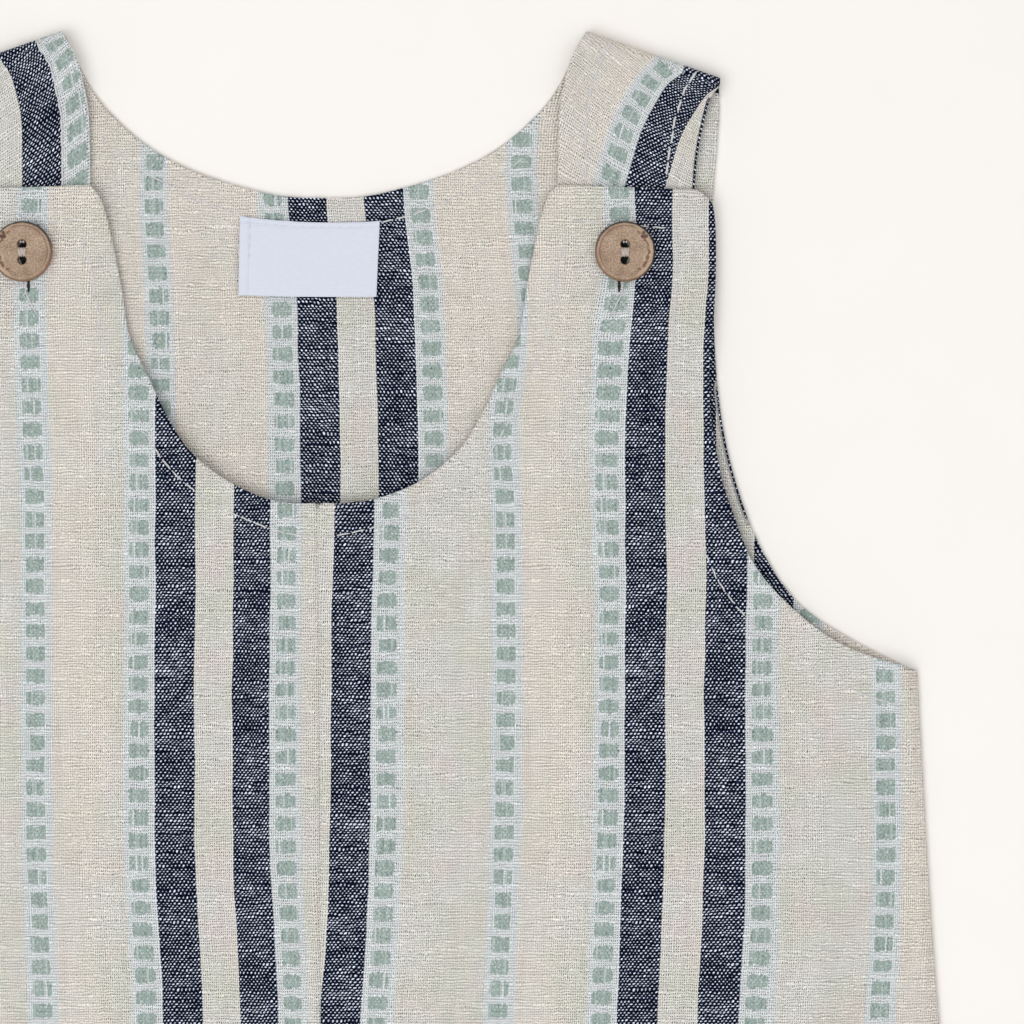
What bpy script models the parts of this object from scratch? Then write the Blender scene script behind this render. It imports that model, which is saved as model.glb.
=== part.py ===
"""A baby's sleeveless short romper in striped linen, laid flat with its front up.

X runs across the garment, Y up its length and Z up from the surface that it lies on. The
origin is on that surface, under the middle of the garment. The back lies on the surface, the
two front halves lie on the back, and each back strap rolls forward over the shoulder and ends
under the front strap that is buttoned onto it.

Sizes below are in millimetres. A place on a panel is given as x, outward from the centre line,
and down, the distance below the top of the shoulder folds.
"""

import math
from collections import namedtuple

import bmesh
import bpy
from mathutils import Matrix, Vector

MM = 0.001

# Driving dimensions
LENGTH = 420.0  # top of the shoulder folds to the leg hems
WALL = 1.0  # one thickness of cloth
GAP = 0.3  # between pieces that touch
FOLD_RADIUS = 1.4  # middle of the cloth, round the shoulder fold
FOLD_STEPS = 8
FOLD_INNER = (57.4, 0.0)  # ends of the shoulder fold's outer line: x, down
FOLD_OUTER = (87.6, 10.6)

FRONT_COLUMNS = 12  # cells across one front half
FRONT_STEP = 10.0  # longest cell down a front half
BACK_COLUMNS = 8
BACK_STEP = 14.0

STRAP_END_SLOPE = 5.0  # how far the front strap takes to settle beside the folded strap
STRAP_FOOT_SLOPE = 18.0  # the same below the folded strap's end
STRAP_CLEARANCE = 0.1  # more than the gap, since the cloth between points is straight
EDGE_SHARE = 0.4  # share of a front's width over which it rises from the side seam
SEAM_DRIFT = -1.3  # x of the centre-front seam at the neck; it is smoothed straight to the crotch
SEAM_BLEND = 20.0  # how far along the neckline that drift fades out

BUTTON_DIAMETER = 13.3
BUTTON_THICKNESS = 2.5
BUTTON_RIM = 1.7  # width of the raised rim
BUTTON_DISH = 0.5  # depth of the middle below the rim
BUTTON_ROUND = 0.6  # rounding of the outer edge
BUTTON_HOLE = 1.9
BUTTON_HOLE_SPACING = 3.5
BUTTON_PLACE = (66.2, 48.8)  # x, down
BUTTON_SIDES = 32

LABEL_LENGTH = 30.3
LABEL_WIDTH = 17.0
LABEL_PLACE = (-3.4, 50.0)  # x, down
LABEL_TURN = -1.8  # degrees
LABEL_ROUND = 0.3

# What lies on the surface, from the bottom up: the middle of each cloth wall
BACK_MIDDLE = WALL / 2
SECOND_MIDDLE = BACK_MIDDLE + WALL + GAP  # the front, and the folded strap's end
THIRD_LIFT = WALL + GAP + STRAP_CLEARANCE  # the front strap over the folded strap

# Half panels as cross-sections, from the leg hem up. Each runs straight from the inner edge
# (centre line, inseam or neckline) to the outer edge (side seam, armhole or strap edge).
# rise is how far the cloth's middle stands above its lowest rest, and corner names the edges
# that turn sharply there.
Section = namedtuple("Section", "name inner_x inner_down outer_x outer_down rise corner")

CROTCH_DOWN = 368.0
NECK_DOWN = 104.4  # the front neckline's lowest point
TRUNK = [
    Section("leg hem", 13.0, 420.0, 146.0, 413.0, 0.5, ""),
    Section("inseam", 5.2, 394.0, 145.6, 388.0, 0.8, ""),
    Section("crotch", 0.0, CROTCH_DOWN, 144.6, 363.0, 1.0, "inner"),
    Section("hip", 0.0, 320.0, 142.6, 317.0, 1.3, ""),
    Section("waist", 0.0, 255.0, 138.2, 254.0, 1.4, ""),
    Section("ribs", 0.0, 195.0, 133.6, 195.0, 1.3, ""),
    Section("underarm", 0.0, 142.0, 130.5, 141.0, 1.2, "outer"),
]
FRONT_YOKE = [
    Section("armhole foot", 0.0, 135.5, 114.5, 135.5, 1.2, ""),
    Section("armhole turn", 0.0, 127.0, 103.0, 127.3, 1.2, ""),
    Section("armhole rise", 0.0, 117.0, 94.3, 117.2, 1.2, ""),
    Section("neck foot", 0.0, NECK_DOWN, 89.4, 105.0, 1.2, "inner"),
    Section("neck flat", 9.2, 103.8, 88.5, 101.0, 1.2, ""),
    Section("neck start", 16.1, 101.7, 87.8, 98.0, 1.2, ""),
    Section("neck low", 22.7, 98.3, 87.3, 95.0, 1.1, ""),
    Section("neck turn", 29.9, 92.2, 86.5, 91.0, 1.0, ""),
    Section("neck middle", 34.8, 84.5, 85.6, 84.5, 0.9, ""),
    Section("neck high", 39.2, 75.3, 85.1, 76.0, 0.7, ""),
    Section("strap foot", 43.0, 67.0, 85.5, 67.5, 0.5, ""),
    Section("strap", 44.6, 57.0, 85.9, 57.5, 0.2, ""),
    Section("strap top", 46.5, 47.5, 86.1, 48.0, 0.0, ""),
    Section("end corners", 48.2, 40.3, 85.8, 41.2, 0.0, ""),
    Section("end round", 49.6, 36.4, 84.9, 37.6, 0.0, ""),
    Section("strap end", 51.4, 34.2, 82.2, 35.3, 0.0, ""),
]
BACK_YOKE = [
    Section("armhole foot", 0.0, 134.0, 116.0, 134.0, 0.0, ""),
    Section("armhole turn", 0.0, 125.4, 103.8, 125.4, 0.0, ""),
    Section("armhole rise", 0.0, 112.2, 95.3, 112.2, 0.0, ""),
    Section("armhole", 0.0, 94.6, 89.3, 94.6, 0.0, ""),
    Section("armhole top", 0.0, 77.0, 86.5, 77.0, 0.0, ""),
    Section("strap foot", 0.0, 57.0, 85.7, 57.0, 0.0, ""),
    Section("neck foot", 0.0, 36.9, 85.7, 37.2, 0.0, "inner"),
    Section("neck flat", 9.0, 36.5, 85.8, 35.4, 0.0, ""),
    Section("neck low", 18.5, 34.3, 85.9, 33.4, 0.0, ""),
    Section("neck turn", 28.5, 31.0, 86.1, 30.6, 0.0, ""),
    Section("neck middle", 37.8, 26.2, 86.4, 27.3, 0.0, ""),
    Section("neck high", 45.8, 19.6, 86.7, 23.2, 0.0, ""),
    Section("strap side", 51.3, 12.8, 87.0, 18.6, 0.0, ""),
]
FOLDED_STRAP = [
    Section("fold slope", 54.4, 6.2, 85.1, 14.8, 1.3, ""),
    Section("outer curve", 53.0, 11.6, 83.8, 18.9, 1.1, ""),
    Section("inner curve", 51.9, 17.6, 82.6, 24.4, 0.7, ""),
    Section("strap middle", 51.6, 26.0, 81.8, 30.0, 0.3, ""),
    Section("under the front", 51.5, 36.0, 81.4, 37.4, 0.0, ""),
    Section("strap end", 51.5, 58.0, 81.4, 58.6, 0.0, ""),
]

# Long soft ridges of the front that the cloth keeps when it is laid out: height above the
# cloth round it, half width, and the stretch that it runs over.
Ridge = namedtuple("Ridge", "x top bottom half_width height")
RIDGES = [
    Ridge(58.0, 120.0, 400.0, 16.0, 0.9),
    Ridge(100.0, 170.0, 330.0, 13.0, 0.6),
    Ridge(26.0, 210.0, 370.0, 12.0, 0.5),
    Ridge(-44.0, 130.0, 350.0, 15.0, 0.8),
    Ridge(-92.0, 200.0, 410.0, 14.0, 0.7),
]

CREAM = (0.62, 0.59, 0.53)
LABEL_WHITE = (0.68, 0.70, 0.78)
COCONUT = (0.36, 0.24, 0.15)


def place(x, down, height):
    """A point of the part, in metres."""
    return Vector((x, LENGTH / 2 - down, height)) * MM


def ease(value):
    """From 0 to 1 with level ends."""
    value = min(max(value, 0.0), 1.0)
    return value * value * (3.0 - 2.0 * value)


def curve_point(points, corners, index, share):
    """A point share of the way from one point of a smooth curve to the next."""
    start, end = points[index], points[index + 1]
    span = end - start
    leaving = span
    if index > 0 and index not in corners:
        leaving = (end - points[index - 1]) / 2
    arriving = span
    if index + 2 < len(points) and index + 1 not in corners:
        arriving = (points[index + 2] - start) / 2
    # a long neighbour must not throw a short span past its ends
    limit = 1.5 * span.length
    if leaving.length > limit:
        leaving = leaving.normalized() * limit
    if arriving.length > limit:
        arriving = arriving.normalized() * limit
    squared, cubed = share**2, share**3
    return (
        start * (2 * cubed - 3 * squared + 1)
        + leaving * (cubed - 2 * squared + share)
        + end * (3 * squared - 2 * cubed)
        + arriving * (cubed - squared)
    )


def section_rows(sections, step):
    """Inner point, outer point and rise of each row of cells through the sections."""
    inner = [Vector((s.inner_x, s.inner_down)) for s in sections]
    outer = [Vector((s.outer_x, s.outer_down)) for s in sections]
    inner_corners = {i for i, s in enumerate(sections) if s.corner == "inner"}
    outer_corners = {i for i, s in enumerate(sections) if s.corner == "outer"}
    rows = []
    for index in range(len(sections) - 1):
        longest = max(
            (inner[index + 1] - inner[index]).length,
            (outer[index + 1] - outer[index]).length,
        )
        cells = max(1, math.ceil(longest / step))
        for cell in range(cells):
            share = cell / cells
            rise = sections[index].rise
            rise += (sections[index + 1].rise - rise) * ease(share)
            rows.append(
                (
                    curve_point(inner, inner_corners, index, share),
                    curve_point(outer, outer_corners, index, share),
                    rise,
                )
            )
    rows.append((inner[-1], outer[-1], sections[-1].rise))
    return rows


def ridge_height(x, down):
    """What the long ridges add to a front's height."""
    total = 0.0
    for ridge in RIDGES:
        along = (down - ridge.top) / (ridge.bottom - ridge.top)
        if 0.0 < along < 1.0:
            across = (x - ridge.x) / ridge.half_width
            total += ridge.height * math.sin(math.pi * along) * math.exp(-across * across)
    return total


def strap_lift(x, down):
    """How far the folded strap lifts the front strap that lies over it."""
    end = FOLDED_STRAP[-1]
    beside = max(end.inner_x - 1.0 - x, x - end.outer_x - 1.0, 0.0)
    below = max(down - end.outer_down - 1.5, 0.0)
    return THIRD_LIFT * (1.0 - ease(beside / STRAP_END_SLOPE)) * (1.0 - ease(below / STRAP_FOOT_SLOPE))


def seam_drift(inner):
    """How far the centre-front seam moves a front's inner point sideways."""
    above = (CROTCH_DOWN - inner.y) / (CROTCH_DOWN - NECK_DOWN)
    return SEAM_DRIFT * min(max(above, 0.0), 1.0) * max(1.0 - inner.x / SEAM_BLEND, 0.0)


def front_rows(side):
    """Rows of points of one front half; side is 1 on the wearer's left and -1 on the right."""
    rows = []
    for inner, outer, rise in section_rows(TRUNK + FRONT_YOKE, FRONT_STEP):
        start = Vector((side * max(inner.x, GAP / 2) + seam_drift(inner), inner.y))
        end = Vector((side * outer.x, outer.y))
        row = []
        for column in range(FRONT_COLUMNS + 1):
            share = column / FRONT_COLUMNS
            x, down = start.lerp(end, share)
            raised = ease((1.0 - share) / EDGE_SHARE)
            height = SECOND_MIDDLE + (rise + ridge_height(x, down)) * raised
            row.append(place(x, down, height + strap_lift(side * x, down)))
        rows.append(row)
    return rows


def shoulder_fold():
    """Ends of the line that each back strap rolls round, and its outward direction."""
    inner, outer = Vector(FOLD_INNER), Vector(FOLD_OUTER)
    along = (outer - inner).normalized()
    outward = Vector((along.y, -along.x))
    inset = outward * (FOLD_RADIUS + WALL / 2)
    return inner - inset, outer - inset, outward


def back_rows():
    """Rows of points of the back's left half: leg, body, strap, the roll and its front end."""
    fold_inner, fold_outer, outward = shoulder_fold()
    fold_top = BACK_MIDDLE + 2 * FOLD_RADIUS
    at_fold = (*fold_inner, *fold_outer)
    lower = section_rows(TRUNK + BACK_YOKE + [Section("fold", *at_fold, 0.0, "")], BACK_STEP)
    upper_start = Section("fold", *at_fold, fold_top - SECOND_MIDDLE, "")
    upper = section_rows([upper_start] + FOLDED_STRAP, BACK_STEP)

    lines = [(inner, outer, BACK_MIDDLE) for inner, outer, _ in lower]
    for step in range(1, FOLD_STEPS):
        angle = math.pi * step / FOLD_STEPS
        out = outward * FOLD_RADIUS * math.sin(angle)
        height = BACK_MIDDLE + FOLD_RADIUS * (1.0 - math.cos(angle))
        lines.append((fold_inner + out, fold_outer + out, height))
    lines += [(inner, outer, SECOND_MIDDLE + rise) for inner, outer, rise in upper]

    rows = []
    for inner, outer, height in lines:
        row = []
        for column in range(BACK_COLUMNS + 1):
            x, down = inner.lerp(outer, column / BACK_COLUMNS)
            row.append(place(x, down, height))
        rows.append(row)
    return rows


def cloth_surface(name, rows, flipped):
    """An open sheet through rows of points, facing up where it isn't flipped."""
    sheet = bmesh.new()
    corners = [[sheet.verts.new(point) for point in row] for row in rows]
    for lower, upper in zip(corners, corners[1:]):
        for column in range(len(lower) - 1):
            face = [lower[column], lower[column + 1], upper[column + 1], upper[column]]
            if flipped:
                face.reverse()
            sheet.faces.new(face)
    mesh = bpy.data.meshes.new(name)
    sheet.to_mesh(mesh)
    sheet.free()
    mesh.shade_smooth()
    mesh.set_sharp_from_angle(angle=math.radians(50))
    return bpy.data.objects.new(name, mesh)


def thicken(cloth):
    """Gives a sheet its wall, half on each side."""
    wall = cloth.modifiers.new("Wall", "SOLIDIFY")
    wall.thickness = WALL * MM
    wall.offset = 0.0
    wall.use_even_offset = True


def cloth_material(name, colour):
    """Matt woven cloth."""
    material = bpy.data.materials.new(name)
    material.use_nodes = True
    surface = material.node_tree.nodes["Principled BSDF"]
    surface.inputs["Base Color"].default_value = (*colour, 1.0)
    surface.inputs["Roughness"].default_value = 0.9
    surface.inputs["Metallic"].default_value = 0.0
    return material


def make_back(parts):
    back = cloth_surface("back", back_rows(), flipped=False)
    parts.objects.link(back)
    mirror = back.modifiers.new("Right half", "MIRROR")
    mirror.use_axis = (True, False, False)
    mirror.merge_threshold = 0.00005
    thicken(back)
    back.data.materials.append(cloth_material("back linen", CREAM))


def make_front(parts, name, side):
    front = cloth_surface(name, front_rows(side), flipped=side < 0)
    parts.objects.link(front)
    thicken(front)
    front.data.materials.append(cloth_material(f"{name} linen", CREAM))


def make_label(parts):
    bpy.ops.mesh.primitive_cube_add(size=1.0)
    label = bpy.context.active_object
    label.name = "label"
    size = Matrix.Diagonal((LABEL_LENGTH * MM, LABEL_WIDTH * MM, WALL * MM, 1.0))
    label.data.transform(size)
    label.location = place(*LABEL_PLACE, SECOND_MIDDLE)
    label.rotation_euler.z = math.radians(LABEL_TURN)
    edges = label.modifiers.new("Soft edges", "BEVEL")
    edges.width = LABEL_ROUND * MM
    edges.segments = 2
    label.data.materials.append(cloth_material("label weave", LABEL_WHITE))
    move_to(label, parts)


def button_profile():
    """Half of a button's cut, from the middle of its face out and back under it."""
    radius = BUTTON_DIAMETER / 2
    top = BUTTON_THICKNESS
    floor = top - BUTTON_DISH
    points = [(0.0, floor), (radius - BUTTON_RIM - 0.8, floor), (radius - BUTTON_RIM, top - 0.12)]
    points.append((radius - BUTTON_RIM + 0.4, top))
    for step in range(4):
        angle = math.radians(30 * step)
        points.append(
            (
                radius - BUTTON_ROUND * (1.0 - math.sin(angle)),
                top - BUTTON_ROUND * (1.0 - math.cos(angle)),
            )
        )
    points.append((radius, BUTTON_ROUND))
    points.append((radius - BUTTON_ROUND, 0.0))
    points.append((0.0, 0.0))
    return points


def make_button(parts, cutters, name, side):
    profile = bmesh.new()
    chain = [profile.verts.new((x * MM, 0.0, z * MM)) for x, z in button_profile()]
    for first, second in zip(chain, chain[1:]):
        profile.edges.new((first, second))
    mesh = bpy.data.meshes.new(name)
    profile.to_mesh(mesh)
    profile.free()
    button = bpy.data.objects.new(name, mesh)
    parts.objects.link(button)
    x, down = BUTTON_PLACE
    base = SECOND_MIDDLE + THIRD_LIFT + WALL / 2 + GAP
    button.location = place(side * x, down, base)

    turned = button.modifiers.new("Turned", "SCREW")
    turned.axis = "Z"
    turned.steps = BUTTON_SIDES
    turned.render_steps = BUTTON_SIDES
    turned.use_merge_vertices = True
    turned.merge_threshold = 0.00005
    turned.use_smooth_shade = False
    for place_y in (-BUTTON_HOLE_SPACING / 2, BUTTON_HOLE_SPACING / 2):
        bpy.ops.mesh.primitive_cylinder_add(
            vertices=16, radius=BUTTON_HOLE / 2 * MM, depth=3 * BUTTON_THICKNESS * MM
        )
        drill = bpy.context.active_object
        drill.name = f"{name} thread hole"
        drill.location = button.location + Vector((0.0, place_y * MM, 0.0))
        drill.hide_render = True
        drill.display_type = "WIRE"
        move_to(drill, cutters)
        cut = button.modifiers.new("Thread hole", "BOOLEAN")
        cut.operation = "DIFFERENCE"
        cut.object = drill
    button.data.materials.append(cloth_material(f"{name} shell", COCONUT))


def move_to(thing, collection):
    for holder in list(thing.users_collection):
        holder.objects.unlink(thing)
    collection.objects.link(thing)


def main():
    for old in list(bpy.data.objects):
        bpy.data.objects.remove(old, do_unlink=True)
    parts = bpy.data.collections.new("romper")
    cutters = bpy.data.collections.new("cutters")
    bpy.context.scene.collection.children.link(parts)
    bpy.context.scene.collection.children.link(cutters)
    make_back(parts)
    make_label(parts)
    for name, side in (("left", 1), ("right", -1)):
        make_front(parts, f"front_{name}", side)
        make_button(parts, cutters, f"button_{name}", side)


main()
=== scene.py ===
"""The looks of a baby's sleeveless linen short romper, laid flat with its front up.

Places on the garment are in millimetres: x, across from the middle, down, the distance below
the top of the shoulder folds, and z, up from the floor. Each cloth panel is a sheet through the
same sections as its solid, but for the front's armhole, which lies up to 0.6 mm further in, as
the photograph shows it. Every point of a sheet also has a place in the woven cloth: how far
it lies across the stripes, and how far along them. All of the weave is drawn from that.
"""

import math
from collections import namedtuple
from functools import partialmethod

import bmesh
import bpy
import numpy as np
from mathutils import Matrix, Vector
from mathutils.bvhtree import BVHTree


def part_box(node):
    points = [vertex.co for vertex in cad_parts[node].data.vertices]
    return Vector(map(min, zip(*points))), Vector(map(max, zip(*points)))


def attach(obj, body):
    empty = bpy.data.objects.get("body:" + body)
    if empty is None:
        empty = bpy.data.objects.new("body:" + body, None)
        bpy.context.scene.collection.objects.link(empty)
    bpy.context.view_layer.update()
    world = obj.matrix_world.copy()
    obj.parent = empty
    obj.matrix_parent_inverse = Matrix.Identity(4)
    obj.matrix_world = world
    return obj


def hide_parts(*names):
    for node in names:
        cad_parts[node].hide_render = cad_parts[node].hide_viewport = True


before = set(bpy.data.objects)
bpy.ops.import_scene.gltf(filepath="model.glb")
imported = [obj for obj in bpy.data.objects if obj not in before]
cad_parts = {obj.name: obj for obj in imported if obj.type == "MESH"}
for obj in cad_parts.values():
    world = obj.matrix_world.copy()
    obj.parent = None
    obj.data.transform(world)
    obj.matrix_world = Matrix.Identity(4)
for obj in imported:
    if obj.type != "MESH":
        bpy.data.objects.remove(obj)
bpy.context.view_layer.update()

MM = 0.001

# ---------------------------------------------------------------- sizes of the garment
LENGTH = 420.0
WALL = 1.0
GAP = 0.3  # between the back and a front, in the solids
FOLD_RADIUS = 1.4
FOLD_INNER = (57.4, 0.0)
FOLD_OUTER = (87.6, 10.6)
STRAP_END_SLOPE = 5.0  # how far a front takes to come down beside the folded strap
STRAP_FOOT_SLOPE = 18.0  # the same below it
STRAP_CLEARANCE = 0.1
EDGE_SHARE = 0.4  # of a section's length, over which its rise sets in from the outer end
SEAM_DRIFT = -1.3  # how far the centre seam wanders at the neck
SEAM_BLEND = 20.0
SEAM_HALF_GAP = 0.03  # between the cloth of the two fronts
BACK_MIDDLE = WALL / 2
SECOND_MIDDLE = BACK_MIDDLE + WALL + GAP
THIRD_LIFT = WALL + GAP + STRAP_CLEARANCE

# One row of points across a panel: its inner end, its outer end, how far the cloth rises over its
# outer part, and the edge that has a corner there
Section = namedtuple("Section", "inner_x inner_down outer_x outer_down rise corner", defaults=[""])
CROTCH_DOWN = 368.0
NECK_DOWN = 104.4
UNDERARM_DOWN = 141.0
TRUNK = [
    Section(13.0, 420.0, 146.0, 413.0, 0.5),
    Section(5.2, 394.0, 145.6, 388.0, 0.8),
    Section(0.0, CROTCH_DOWN, 144.6, 363.0, 1.0, "inner"),
    Section(0.0, 320.0, 142.6, 317.0, 1.3),
    Section(0.0, 255.0, 138.2, 254.0, 1.4),
    Section(0.0, 195.0, 133.6, 195.0, 1.3),
    Section(0.0, 142.0, 130.5, UNDERARM_DOWN, 1.2, "outer"),
]
FRONT_YOKE = [
    Section(0.0, 135.5, 114.5, 135.5, 1.2),
    Section(0.0, 127.0, 103.0, 127.3, 1.2),
    Section(0.0, 117.0, 94.3, 117.2, 1.2),
    Section(0.0, NECK_DOWN, 89.4, 105.0, 1.2, "inner"),
    Section(9.2, 103.8, 88.0, 101.0, 1.2),
    Section(16.1, 101.7, 87.2, 98.0, 1.2),
    Section(22.7, 98.3, 86.7, 95.0, 1.1),
    Section(29.9, 92.2, 85.9, 91.0, 1.0),
    Section(34.8, 84.5, 85.0, 84.5, 0.9),
    Section(39.2, 75.3, 84.7, 76.0, 0.7),
    Section(43.0, 67.0, 85.3, 67.5, 0.5),
    Section(44.6, 57.0, 85.9, 57.5, 0.2),
    Section(46.5, 47.5, 86.1, 48.0, 0.0),
    Section(48.2, 40.3, 85.8, 41.2, 0.0),
    Section(49.6, 36.4, 84.9, 37.6, 0.0),
    Section(51.4, 34.2, 82.2, 35.3, 0.0),
]
BACK_YOKE = [
    Section(0.0, 134.0, 116.0, 134.0, 0.0),
    Section(0.0, 125.4, 103.8, 125.4, 0.0),
    Section(0.0, 112.2, 95.3, 112.2, 0.0),
    Section(0.0, 94.6, 89.3, 94.6, 0.0),
    Section(0.0, 77.0, 86.5, 77.0, 0.0),
    Section(0.0, 57.0, 85.7, 57.0, 0.0),
    Section(0.0, 36.9, 85.7, 37.2, 0.0, "inner"),
    Section(9.0, 36.5, 85.8, 35.4, 0.0),
    Section(18.5, 34.3, 85.9, 33.4, 0.0),
    Section(28.5, 31.0, 86.1, 30.6, 0.0),
    Section(37.8, 26.2, 86.4, 27.3, 0.0),
    Section(45.8, 19.6, 86.7, 23.2, 0.0),
    Section(51.3, 12.8, 87.0, 18.6, 0.0),
]
FOLDED_STRAP = [
    Section(54.4, 6.2, 85.1, 14.8, 1.3),
    Section(53.0, 11.6, 83.8, 18.9, 1.1),
    Section(51.9, 17.6, 82.6, 24.4, 0.7),
    Section(51.6, 26.0, 81.8, 30.0, 0.3),
    Section(51.5, 36.0, 81.4, 37.4, 0.0),
    Section(51.5, 58.0, 81.4, 58.6, 0.0),
]

Ridge = namedtuple("Ridge", "x top bottom half_width height")
RIDGES = [
    Ridge(58.0, 120.0, 400.0, 16.0, 0.9),
    Ridge(100.0, 170.0, 330.0, 13.0, 0.6),
    Ridge(26.0, 210.0, 370.0, 12.0, 0.5),
    Ridge(-44.0, 130.0, 350.0, 15.0, 0.8),
    Ridge(-92.0, 200.0, 410.0, 14.0, 0.7),
]

# ---------------------------------------------------------------- the woven cloth
SHEET = 0.7  # thickness of the cloth that shows
ROLL_RADIUS = FOLD_RADIUS + WALL / 2 - SHEET / 2
END_PITCH = 0.44  # across one warp end
PICK_PITCH = 0.62  # along one weft pick
# Each stripe of the repeat, from the viewer's left on a front: its width, and how peachy it is
# near its left edge, in its middle and near its right edge
Stripe = namedtuple("Stripe", "kind width tints", defaults=[(0.0, 0.0, 0.0)])
STRIPES = [
    Stripe("navy", 8.69),
    Stripe("cream", 8.36),
    Stripe("navy", 8.69),
    Stripe("dashes", 7.26),
    Stripe("wide", 20.0, (0.25, 0.05, 0.25)),
    Stripe("dashes", 7.04),
    Stripe("peach", 15.62, (0.7, 0.8, 0.3)),
    Stripe("dashes", 7.06),
]
TINT_SPOTS = (0.06, 0.5, 0.94)
TINT_RANGE = (0.1, 1.3)  # from none to all of the peach
REPEAT = sum(stripe.width for stripe in STRIPES)
DASH_WIDTH = 4.2
DASH_LENGTH = 3.02
DASH_PITCH = 4.92
BAND_WIDTH = 7.1  # of a dashed band, about
PALE_DOT = (0.66, 0.42)  # a weft dot's half width and half height, in ends and picks
DARK_DOT = (0.5, 0.25)  # the same in a navy stripe
DOT_LEAN = 0.2
DOT_EDGE = (0.35, 1.5)  # where a dot starts to fade and has faded, as its oval's square
# Slow changes over the cloth: turns to a millimetre across and along it, the noise's seed and
# detail, and how much it counts
Patch = namedtuple("Patch", "across along seed detail strength")
DRIFT = Patch(0.35, 0.06, 0.0, 1.0, 0.8)  # how ends wander, in millimetres
BOWS = (  # how picks wander
    Patch(0.045, 0.3, 7.0, 1.0, 1.2),
    Patch(0.25, 0.9, 8.0, 1.0, 0.7),
    Patch(0.75, 0.8, 9.0, 1.0, 0.43),
)
WORN_DOTS = Patch(0.08, 0.14, 51.0, 2.0, 0.8)  # how long navy's white dots are
TINTS = (Patch(0.05, 0.018, 11.0, 1.0, 1.1), Patch(0.3, 0.12, 2.0, 2.0, 0.5))
FIBRES = Patch(4.6, 4.2, 27.0, 1.0, 2.1)
OPENNESS = Patch(0.3, 0.25, 44.0, 2.0, 0.8)
DASH_SIDES = Patch(1.3, 1.1, 61.0, 1.0, 0.22)
DASH_ENDS = Patch(1.4, 1.4, 71.0, 1.0, 0.22)
GREEN_GRAINS = (Patch(3.0, 2.2, 17.0, 1.0, 1.3), Patch(4.4, 3.6, 19.0, 0.0, 0.9))
# A colour that comes and goes: from where to where in its patches it sets in, and how strongly
Cover = namedtuple("Cover", "patch start full share")
ROSY = Cover(Patch(0.1, 0.09, 21.0, 1.0, 1.0), -0.06, 0.2, 0.5)
LIMY = Cover(Patch(0.07, 0.06, 33.0, 1.0, 1.0), -0.12, 0.16, 0.7)
# painted sheen: patches where the navy threads are lighter, as on the tops of round threads
NAVY_SHEEN_PATCHES = Cover(Patch(2.4, 1.5, 37.0, 1.0, 1.0), -0.06, 0.2, 0.7)
# Thick and thin stretches of a pick: turns to a millimetre along it, a step from row to row that
# leaves them nothing in common, how much wider and higher a thick one makes the dots, how much
# brighter it is, and how far it closes the pinholes beside it
SLUB_TURNS = 0.3
SLUB_ROW_STEP = 5.3
SLUB_WIDTH = 0.4
SLUB_HEIGHT = 0.3
SLUB_LIGHT = 0.1
SLUB_CLOSING = 0.6
# Colour and brightness of the threads: a navy stripe's dots are brighter and differ more
WHITENESS = 0.35  # of the weft, from cream to white
OWN_WEFT = 0.8  # how much of a navy or dashed stripe's own colour its weft has
PEACH_SHARE = 0.9  # at its strongest
PEACH_THROUGH = 0.85  # how peachy the inside is where the face shows none
END_LIGHT = 0.9  # brightness of the dullest warp end
END_SPREAD = 0.12
PICK_SPREAD = 0.05
DOT_LIGHT = 0.98
DOT_SPREAD = 0.18
NAVY_DOT_LIGHT = 0.09  # what a navy stripe adds
NAVY_DOT_SPREAD = 0.46
LUCK_WIDTH = 0.16  # how far dots differ in width
# Painted shade in the gaps between the threads: from where to where beside a thread's middle it sets
# in, how dark every other pinhole is beside the ones between, and how much less it shows in navy
END_EDGE = (0.15, 0.45)
PICK_EDGE = (0.17, 0.45)
NARROW_GAP = 0.65
NAVY_FILLING = 0.6
DARKEST = 0.92
# The green dashes: a number of turns that tells a repeat's bands apart, how far each band's
# dashes lie along from the one before's, how square a dash is, where it starts and has ended, how
# ragged its ends are, and the threads and bundles of threads in it
BAND_TURNS = 2.6
BAND_STAGGER = 0.37
DASH_SQUARENESS = 7.0
DASH_EDGE = (0.75, 1.35)
RAGGEDNESS = 0.1
FLOATS_TO_END = 1.5
CLUMP_TURNS = 1.1
# How dark the painted shade is between its picks, between its ends and in its pinholes, how much
# peach there is over it, and how bright the cloth is
Weave = namedtuple("Weave", "between_picks between_ends holes peach light")
FACE_WEAVE = Weave(0.04, 0.07, 1.0, 0.0, 0.968)
INSIDE_WEAVE = Weave(0.05, 0.07, 0.88, 0.85, 0.952)

# Where the first navy stripe of a repeat starts on each panel, at chest height
LEFT_STRIPE_X = 66.0
RIGHT_STRIPE_X = -37.3
BACK_STRIPE_X = 20.7  # seen from inside, so it runs the other way from here

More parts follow.
